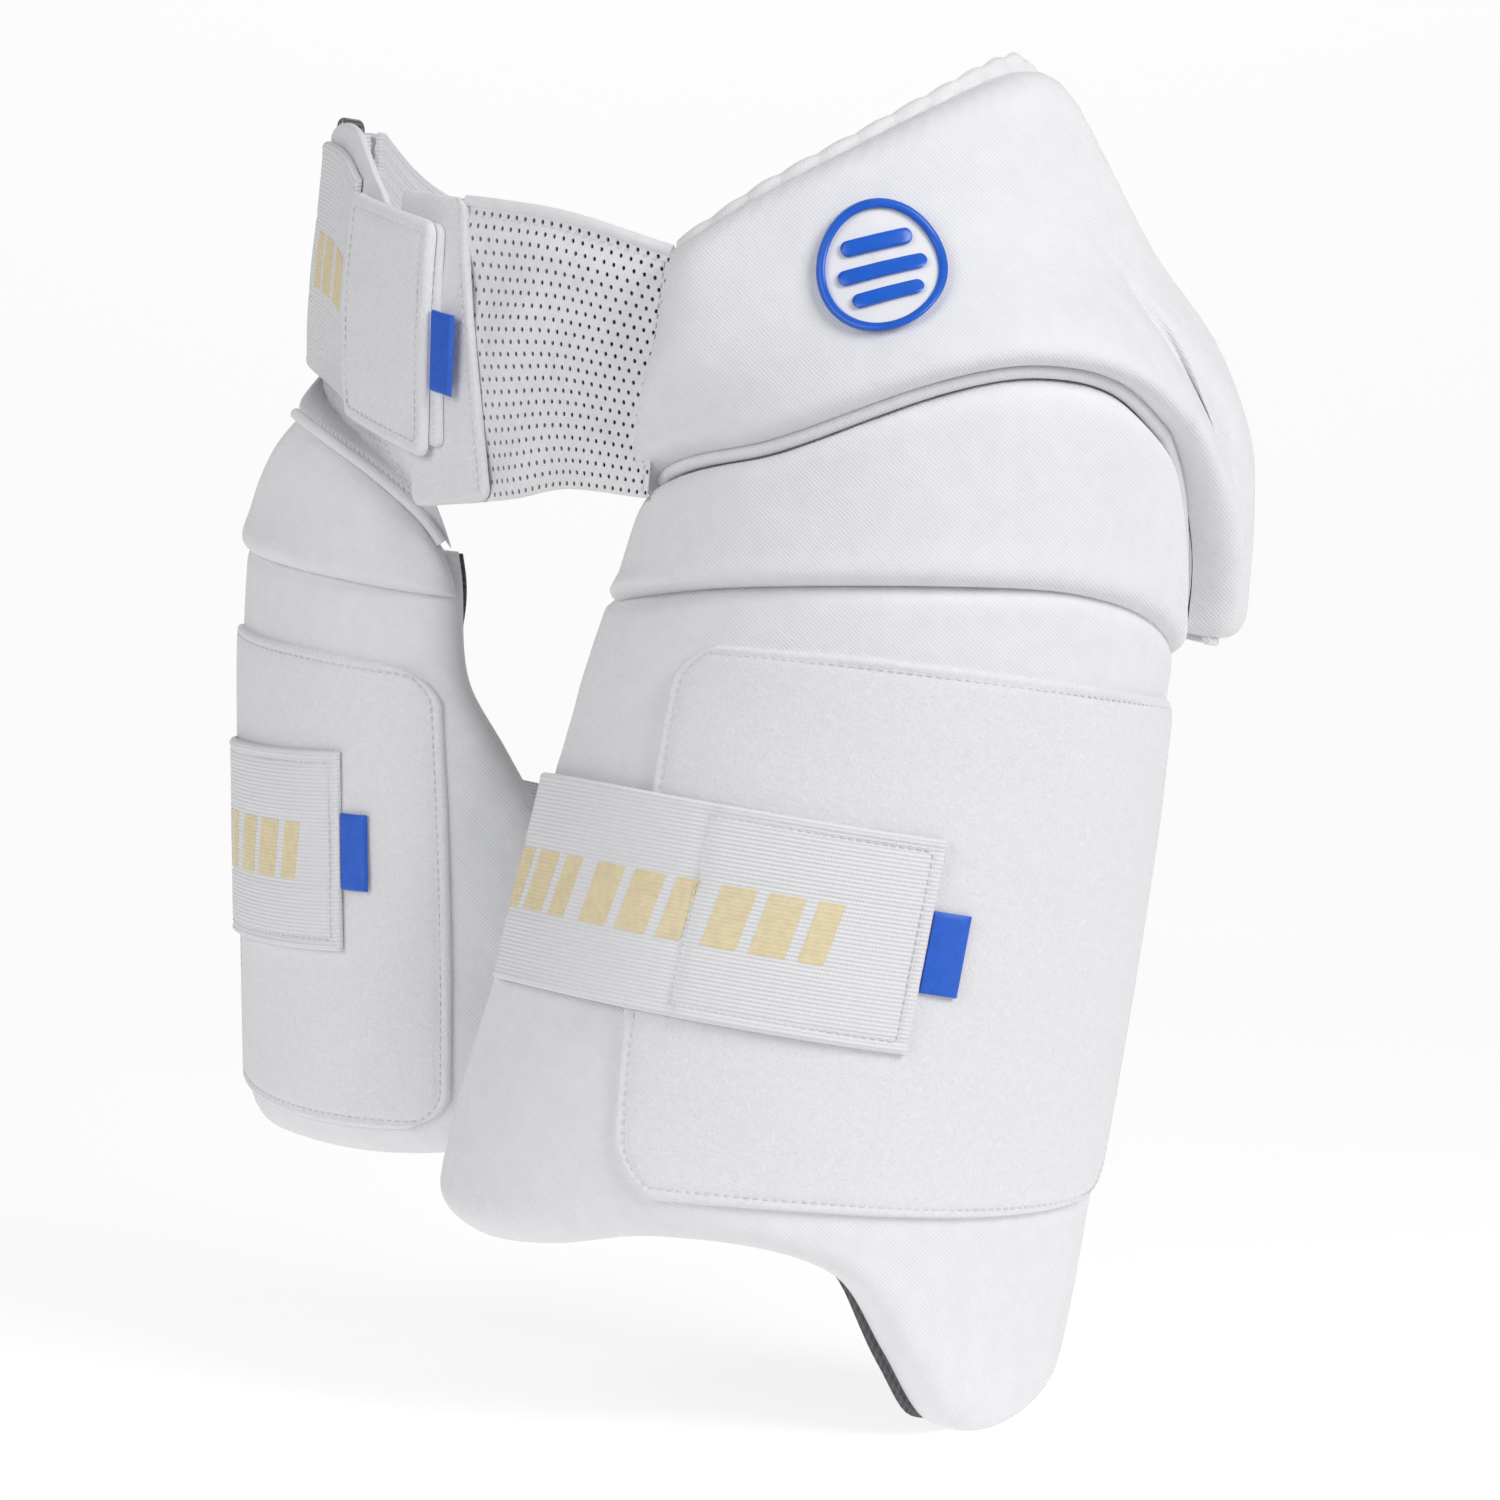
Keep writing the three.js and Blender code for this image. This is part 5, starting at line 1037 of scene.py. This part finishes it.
def blocks(name, place, width, height, surface, run, band, pitch, lean):
    """A printed row of plain slanted bars."""
    points, faces, uv = [], [], []
    start, stop = run[0] * width, run[1] * width
    count = int((stop - start) // pitch)
    for k in range(count):
        left = stop - (k + 1) * pitch + 2.2
        wide = pitch - 3.4 if k % 3 else pitch - 6.2
        us = np.linspace(left, left + wide, 9)
        vs = np.linspace(band[0], band[1], 30) * height
        base = sum(len(p) for p in points)
        y, x = np.meshgrid(vs, us, indexing="ij")
        x = x + (y - vs.mean()) * lean
        level = surface(x, y)
        spot = place(x / width, y / height, level + 0.16).reshape(-1, 3)
        deep = place(x / width, y / height, level - 0.3).reshape(-1, 3)
        points.append(np.concatenate([spot, deep]))
        flat = np.stack([x.ravel(), y.ravel()], -1)
        uv.append(np.concatenate([flat, flat]))
        faces.append(shell_faces(30, 9) + base)
    made = mesh_object(name, np.concatenate(points), np.concatenate(faces), np.concatenate(uv))
    return finish_piece(made, cream)


def build_ring():
    """The ring stands on edge in the belt, and the strap and the back belt fold round its bars."""
    middle = RING_MIDDLE * BELT_HEIGHT
    centre = on_waist(RING_AT, middle, RING_OUT)
    a = math.radians(RING_AT)
    along = np.array([math.cos(a), math.sin(a), 0.0])
    outward = np.array([math.sin(a), -math.cos(a), 0.0])
    up = np.array([0.0, 0.0, 1.0])
    w, h, r = RING_WIDTH / 2 - RING_WIRE / 2, RING_HEIGHT / 2 - RING_WIRE / 2, 2.5
    corner = np.linspace(0, math.pi / 2, 6)
    path = []
    for sx, sz, begin in ((1, 1, 0), (-1, 1, 1), (-1, -1, 2), (1, -1, 3)):
        for c in corner:
            c = c + begin * math.pi / 2
            path.append(centre + along * (sx * (w - r) + r * math.cos(c)) + up * (sz * (h - r) + r * math.sin(c)))
    wire = tube("belt_ring_wire", path, RING_WIRE / 2, 14, closed=True)
    finish_piece(wire, metal, ["belt_ring"])
    for name, bar, side, end, tall, node in (
            ("strap_fold_elastic", w, 1, STRAP_ENDS[0], BELT_HEIGHT, "strap_fold"),
            ("back_belt_fold_elastic", -w, -1, BACK_BELT_ENDS[-1], BACK_BELT_HEIGHT, "back_belt_fold")):
        turn = np.linspace(-math.pi / 2, math.pi / 2, 15)
        profile = [(bar + side * (FOLD_LEG + 1), -1.0), (bar + side * FOLD_LEG * 0.5, -1.0)]
        profile += [(bar - side * math.cos(t), math.sin(t)) for t in turn]
        profile += [(bar + side * FOLD_LEG * 0.5, 1.0), (bar + side * (FOLD_LEG + 1), 1.0)]
        rows = np.linspace(end[1] * tall, end[2] * tall, 40)
        grids = []
        for reach in (FOLD_REACH, FOLD_REACH - WEBBING_THICKNESS):
            grid = []
            for z in rows:
                rib = 0.18 * math.sin(z * 1.2) * (1 if reach == FOLD_REACH else -1)
                line = []
                for x, y in profile:
                    curved = abs(y) < 1
                    px = bar - side * (reach + rib) * math.sqrt(max(0, 1 - y * y)) if curved else x
                    line.append(centre + along * px + outward * y * (reach + rib) + up * (z - middle))
                grid.append(line)
            grids.append(np.array(grid))
        outer, inner = (grids[0], grids[1]) if side < 0 else (grids[0], grids[1])
        faces = shell_faces(len(rows), len(profile))
        faces = faces if side < 0 else faces[:, ::-1]
        run = np.arange(len(profile)) * 1.2
        flat = np.stack(np.meshgrid(run, rows), -1).reshape(-1, 2)
        points = np.concatenate([outer.reshape(-1, 3), inner.reshape(-1, 3)])
        made = mesh_object(name, points, faces, np.concatenate([flat, flat]))
        wide, high = math.pi * FOLD_REACH + 2 * FOLD_LEG, rows[-1] - rows[0]
        made["flat_w"], made["flat_l"], made["flat_a"] = wide * MM, abs(high) * MM, wide * abs(high) * MM * MM
        finish_piece(made, elastic, [node], "sheet")


def build_thigh(side, parts):
    """One thigh: lining, pad, yoke, piping, patch, strap and label."""
    body, tag = parts["body"], side
    pad = bounded(body, parts["pad_sides"], parts["pad_ends"], parts["pad_length"])
    w, h = span_of(pad)
    thick, tuck = parts["thickness"], parts["tuck"]

    def pad_outer(x, y):
        full = mix(tuck, thick, smooth((y / h - 0.04) / 0.045))
        edge = swell(x, 11, 2.3) * swell(w - x, parts["wing_rim"], 2.3) * swell(h - y, 12, 2.3)
        level = PAD_BASE + full * mix(0.28, 1, edge)
        level = level + 0.5 * waves(x, y, 70, parts["seed"]) * smooth((y / h - 0.14) / 0.1)
        pucker = np.exp(-np.minimum.reduce([x, w - x, h - y]) / 8.0)
        return level + 0.25 * pucker * waves(x, y, 12, parts["seed"] + 1)

    us, vs = stations(w, 2.6, 11, parts["wing_rim"], 9), stations(h, 2.6, 0, 12, 9)
    piece = shell(f"{tag}_pad_cover", pad, us, vs, pad_outer, lambda x, y: np.full_like(x, PAD_BASE) - 0.4)
    finish_piece(piece, cover, [f"{tag}_pad"], "padded")

    def lining_place(u, v, out):
        low = parts["lining_low"] * np.exp(-((u - 0.69) / 0.085) ** 4) - 1.5
        wide = parts["lining_wide"] * np.exp(-(v / 0.14) ** 4) - 2.5
        return pad(mix(1.5 / w, 1 + wide / w, u), mix(0.004, 1 + low / h, v), out)

    lw, lh = span_of(lining_place)
    piece = shell(f"{tag}_lining_knit", lining_place, stations(lw, 3.2, 3, 3, 4), stations(lh, 3.2, 0, 3, 4),
                  lambda x, y: 0.3 + 2.2 * mix(0.4, 1, swell(edge_distance(x, y, lw, lh, "lrb"), 3)),
                  lambda x, y: 0.6 * (1 - swell(edge_distance(x, y, lw, lh, "lrb"), 3)) + 0.3 * waves(x, y, 40, 7))
    finish_piece(piece, spacer_and_shade, [f"{tag}_lining"], "sheet")

    yoke = bounded(body, parts["yoke_sides"], parts["yoke_ends"], parts["yoke_height"])
    yw, yh = span_of(yoke)
    ybase, ythick = parts["yoke_base"], parts["yoke_thickness"]

    def yoke_outer(x, y):
        edge = swell(x, 8, 2.3) * swell(yw - x, 8, 2.3) * swell(y, 11, 2.0) * swell(yh - y, 6.5, 2.3)
        roll = 1.1 * groove(yh - y - 7, 5.5)
        pucker = np.exp(-y / 7.0) * 0.3 * waves(x, y, 11, parts["seed"] + 3)
        return ybase + ythick * mix(0.22, 1, edge) + roll + pucker + 0.45 * waves(x, y, 48, parts["seed"] + 2)

    rows = np.concatenate([[-3.4 / yh, -1.7 / yh], stations(yh, 1.8, 11, 7, 8)])
    piece = shell(f"{tag}_yoke_cover", yoke, stations(yw, 2.2, 8, 8, 7), rows, yoke_outer,
                  lambda x, y: ybase - 0.4 - 1.2 * smooth((y / yh - 0.75) / 0.2))
    finish_piece(piece, cover, [f"{tag}_yoke"], "padded")

    t = np.linspace(*parts["cord_run"], 120)
    path = beside(yoke, t, parts["cord_width"] / 2, ybase + ythick * parts["cord_lift"])
    cord = tube(parts["cord_name"] + "_cord", path, parts["cord_radius"], 14)
    finish_piece(cord, cover, [parts["cord_name"]])

    patch = bounded(body, parts["patch_sides"], parts["patch_ends"], parts["patch_length"])
    pw, ph = span_of(patch)
    pbase = parts["patch_base"]

    def patch_outer(x, y):
        near = edge_distance(x, y, pw, ph)
        seam = -0.5 * groove(near - 3.6, 1.1) + 0.25 * groove(near - 1.6, 1.3)
        return (pbase + PATCH_THICKNESS * mix(0.2, 1.1, swell(near, 2.2)) + seam
                + 0.4 * waves(x, y, 55, parts["seed"] + 4) * smooth(near / 6))

    piece = shell(f"{tag}_patch_cloth", patch, stations(pw, 1.9, 5, 5, 7), stations(ph, 1.9, 5, 5, 7), patch_outer,
                  lambda x, y: np.full_like(x, pbase) - 1.4)
    finish_piece(piece, brushed, [f"{tag}_loop_patch"], "sheet")

    strap = bounded(body, parts["strap_sides"], parts["strap_ends"], STRAP_WIDTH)
    sw, sh = span_of(strap)
    sbase = parts["strap_base"]
    box = parts["box"] * sw

    def strap_level(x):
        return read(parts["strap_out"], x / sw, 1) * sbase

    def strap_outer(x, y):
        near = edge_distance(x, y, sw, sh, "tbr")
        double = smooth((x - box) / 2) * 0.5
        seams = 0.4 * groove(sw - x - 3.4, 0.9) + smooth((x - box - 1) / 2) * 0.4 * groove(
            edge_distance(x, y, sw, sh, "tb") - 4.4, 0.9) + 0.5 * groove(x - box, 1.0)
        band = 0.28 * (groove(y - sh * 0.335, 0.7) + groove(y - sh * 0.675, 0.7))
        sunk = 0.25 * smooth((y / sh - 0.335) / 0.02) * smooth((0.675 - y / sh) / 0.02)
        rim = 0.3 * groove(edge_distance(x, y, sw, sh, "tb") - 1.3, 1.1)
        return (strap_level(x) + WEBBING_THICKNESS * mix(0.4, 1, swell(near, 1.6)) + double - seams - band - sunk
                + rim + 0.25 * waves(x, y, 34, parts["seed"] + 5) * smooth(near / 5))

    piece = shell(f"{tag}_strap_elastic", strap, stations(sw, 2.6, 0, 4, 6), stations(sh, 0.9, 2, 2, 5), strap_outer,
                  lambda x, y: strap_level(x) + 0.15 * waves(x, y, 34, parts["seed"] + 5))
    finish_piece(piece, elastic, [f"{tag}_strap"], "sheet")

    label = bounded(body, parts["label_sides"], parts["label_ends"], LABEL_HEIGHT)
    fw, fh = span_of(label)
    lift = lambda x: 0.8 * np.sin(x / fw * 2.2)
    piece = shell(f"{tag}_label_satin", label, stations(fw, 0.8, 1, 2, 3), stations(fh, 1.5, 0.6, 0.6, 2),
                  lambda x, y: sbase + LABEL_THICKNESS * mix(0.4, 1, swell(edge_distance(x, y, fw, fh, "tbr"), 1)) + lift(x),
                  lambda x, y: sbase + lift(x))
    finish_piece(piece, satin, [f"{tag}_label"], "sheet")

    seams = Stitches(f"{tag}_stitching")
    for a, b in border(3.6, 3.6, pw, ph, 120):
        seams.row(patch, a, b, pbase + PATCH_THICKNESS * 1.1 - 0.2)
    top = sbase + WEBBING_THICKNESS + 0.45
    n = 80
    seams.row(strap, np.full(n, 1 - 3.4 / sw), np.linspace(0.06, 0.94, n), top, 3.0)
    seams.row(strap, np.full(n, box / sw), np.linspace(0.05, 0.95, n), top - 0.35, 3.0)
    for share in (4.4 / sh, 1 - 4.4 / sh):
        seams.row(strap, np.linspace((box + 1) / sw, 1 - 4 / sw, n), np.full(n, share), top, 3.0)
    if parts["cord_stitch"]:
        t = np.linspace(0.04, 0.99, 160)
        seams.row(yoke, t, np.full_like(t, 2.2 / yh), ybase + ythick * 0.62, 3.4)
    finish_piece(seams.make(), thread)
    blocks(f"{tag}_strap_print", strap, sw, sh, strap_outer, parts["print_run"], (0.36, 0.65), 13.0, -0.12)


build_hip()
build_badge()
build_waist()
build_ring()
build_thigh("outer", dict(
    body=on_outer, pad_sides=OUTER_PAD_SIDES, pad_ends=OUTER_PAD_ENDS, pad_length=OUTER_PAD_LENGTH,
    thickness=OUTER_PAD_THICKNESS, tuck=OUTER_TUCK_THICKNESS, wing_rim=14, seed=101,
    yoke_sides=YOKE_SIDES, yoke_ends=YOKE_ENDS, yoke_height=OUTER_YOKE_HEIGHT, yoke_base=OUTER_YOKE_BASE,
    yoke_thickness=OUTER_YOKE_THICKNESS, cord_name="thigh_piping", cord_run=(0.03, 1.86), cord_width=CORD_WIDTH,
    cord_lift=0.55, cord_radius=2.5, cord_stitch=True,
    patch_sides=OUTER_PATCH_SIDES, patch_ends=OUTER_PATCH_ENDS, patch_length=OUTER_PATCH_LENGTH,
    patch_base=OUTER_PATCH_BASE, strap_sides=OUTER_STRAP_SIDES, strap_ends=OUTER_STRAP_ENDS,
    strap_out=OUTER_STRAP_OUT, strap_base=OUTER_STRAP_BASE, box=0.862, print_run=(0.69, 0.955),
    lining_low=6, lining_wide=0,
    label_sides=OUTER_LABEL_SIDES, label_ends=OUTER_LABEL_ENDS))
build_thigh("inner", dict(
    body=on_inner, pad_sides=INNER_PAD_SIDES, pad_ends=INNER_PAD_ENDS, pad_length=INNER_PAD_LENGTH,
    thickness=INNER_PAD_THICKNESS, tuck=INNER_TUCK_THICKNESS, wing_rim=16, seed=201,
    yoke_sides=INNER_YOKE_SIDES, yoke_ends=INNER_YOKE_ENDS, yoke_height=INNER_YOKE_HEIGHT,
    yoke_base=INNER_YOKE_BASE, yoke_thickness=INNER_YOKE_THICKNESS, cord_name="inner_piping", cord_run=(0.0, 0.97),
    cord_width=INNER_CORD_WIDTH, cord_lift=0.45, cord_radius=2.1, cord_stitch=False,
    patch_sides=INNER_PATCH_SIDES, patch_ends=INNER_PATCH_ENDS, patch_length=INNER_PATCH_LENGTH,
    patch_base=INNER_PATCH_BASE, strap_sides=INNER_STRAP_SIDES, strap_ends=INNER_STRAP_ENDS,
    strap_out=INNER_STRAP_OUT, strap_base=INNER_STRAP_BASE, box=0.835, print_run=(0.8, 0.97),
    lining_low=0, lining_wide=4.5,
    label_sides=INNER_LABEL_SIDES, label_ends=INNER_LABEL_ENDS))


# Stage: a seamless pale floor and backdrop, soft light and the camera
FLOOR_HALF_WIDTH = 2000
FLOOR_FRONT = 2500


def build_stage():
    floor_z = cad_low.z / MM - 1.5
    run = np.concatenate([np.linspace(-FLOOR_FRONT, 1800, 12), 1800 + 900 * np.sin(np.linspace(0, math.pi / 2, 14)[1:]),
                          np.full(6, 2700.0)])
    climb = np.concatenate([np.zeros(12), 900 * (1 - np.cos(np.linspace(0, math.pi / 2, 14)[1:])),
                            np.linspace(1100, 3200, 6)])
    a = PAD_TURN
    away, right = np.array([-math.sin(a), math.cos(a), 0]), np.array([math.cos(a), math.sin(a), 0])
    points, faces = [], []
    for r, c in zip(run, climb):
        for s in np.linspace(-FLOOR_HALF_WIDTH, FLOOR_HALF_WIDTH, 9):
            points.append(away * r + right * s + np.array([0, 0, floor_z + c]))
    for i in range(len(run) - 1):
        for k in range(8):
            b = i * 9 + k
            faces.append((b, b + 1, b + 10, b + 9))
    floor = mesh_object("studio_floor", np.array(points), faces, angle=80)
    material = bpy.data.materials.new("studio_paper")
    material.use_nodes = True
    tree = material.node_tree
    tree.nodes.remove(tree.nodes["Principled BSDF"])
    diffuse = tree.nodes.new("ShaderNodeBsdfDiffuse")
    diffuse.inputs["Color"].default_value = (0.9, 0.9, 0.9, 1)
    glow = tree.nodes.new("ShaderNodeEmission")
    where = tree.nodes.new("ShaderNodeTexCoord")
    depth = tree.nodes.new("ShaderNodeVectorMath")
    depth.operation = "DOT_PRODUCT"
    depth.inputs[1].default_value = away
    fade = tree.nodes.new("ShaderNodeMapRange")
    fade.interpolation_type = "SMOOTHSTEP"
    fade.inputs["From Min"].default_value = -0.6
    fade.inputs["From Max"].default_value = -0.18
    fade.inputs["To Min"].default_value = 0.2
    fade.inputs["To Max"].default_value = 1.33
    tree.links.new(where.outputs["Object"], depth.inputs[0])
    tree.links.new(depth.outputs["Value"], fade.inputs["Value"])
    tree.links.new(fade.outputs["Result"], glow.inputs["Strength"])
    both = tree.nodes.new("ShaderNodeMixShader")
    both.inputs["Fac"].default_value = 0.45
    tree.links.new(glow.outputs[0], both.inputs[1])
    tree.links.new(diffuse.outputs[0], both.inputs[2])
    tree.links.new(both.outputs[0], tree.nodes["Material Output"].inputs["Surface"])
    floor.data.materials.append(material)

    world = bpy.data.worlds.new("studio")
    bpy.context.scene.world = world
    world.use_nodes = True
    world.node_tree.nodes["Background"].inputs["Color"].default_value = (1, 1, 1, 1)
    world.node_tree.nodes["Background"].inputs["Strength"].default_value = 0.27

    def lamp(name, where, size, power, aim=(0.0, 0.0, -0.12)):
        data = bpy.data.lights.new(name, "AREA")
        data.shape, data.size, data.energy = "DISK", size, power
        made = bpy.data.objects.new(name, data)
        bpy.context.scene.collection.objects.link(made)
        spot = right * where[0] + away * where[1] + np.array([0, 0, where[2]])
        made.location = spot
        direction = np.array(aim) - spot
        made.rotation_mode = "QUATERNION"
        from mathutils import Vector
        made.rotation_quaternion = Vector(direction).to_track_quat("-Z", "Y")

    lamp("key", (1.15, -1.1, 0.7), 0.9, 18.5)
    lamp("fill", (-1.1, -1.3, 0.5), 1.2, 10.5)
    lamp("top", (0.3, -0.2, 2.2), 1.4, 3)

    camera = bpy.data.cameras.new("camera")
    view = bpy.data.objects.new("camera", camera)
    bpy.context.scene.collection.objects.link(view)
    turn, tilt, distance = math.radians(35), math.radians(3), 1.7
    back = np.array([math.sin(turn) * math.cos(tilt), -math.cos(turn) * math.cos(tilt), math.sin(tilt)])
    target = np.array([12.8, 8.9, -156]) * MM
    view.location = target + back * distance
    from mathutils import Vector
    view.rotation_mode = "QUATERNION"
    view.rotation_quaternion = Vector(-back).to_track_quat("-Z", "Y")
    camera.sensor_width = 36
    camera.lens = 4474 / 1500 * 36
    camera.clip_start, camera.clip_end = 0.05, 20
    bpy.context.scene.camera = view
    bpy.context.scene.view_settings.view_transform = "Standard"


build_stage()
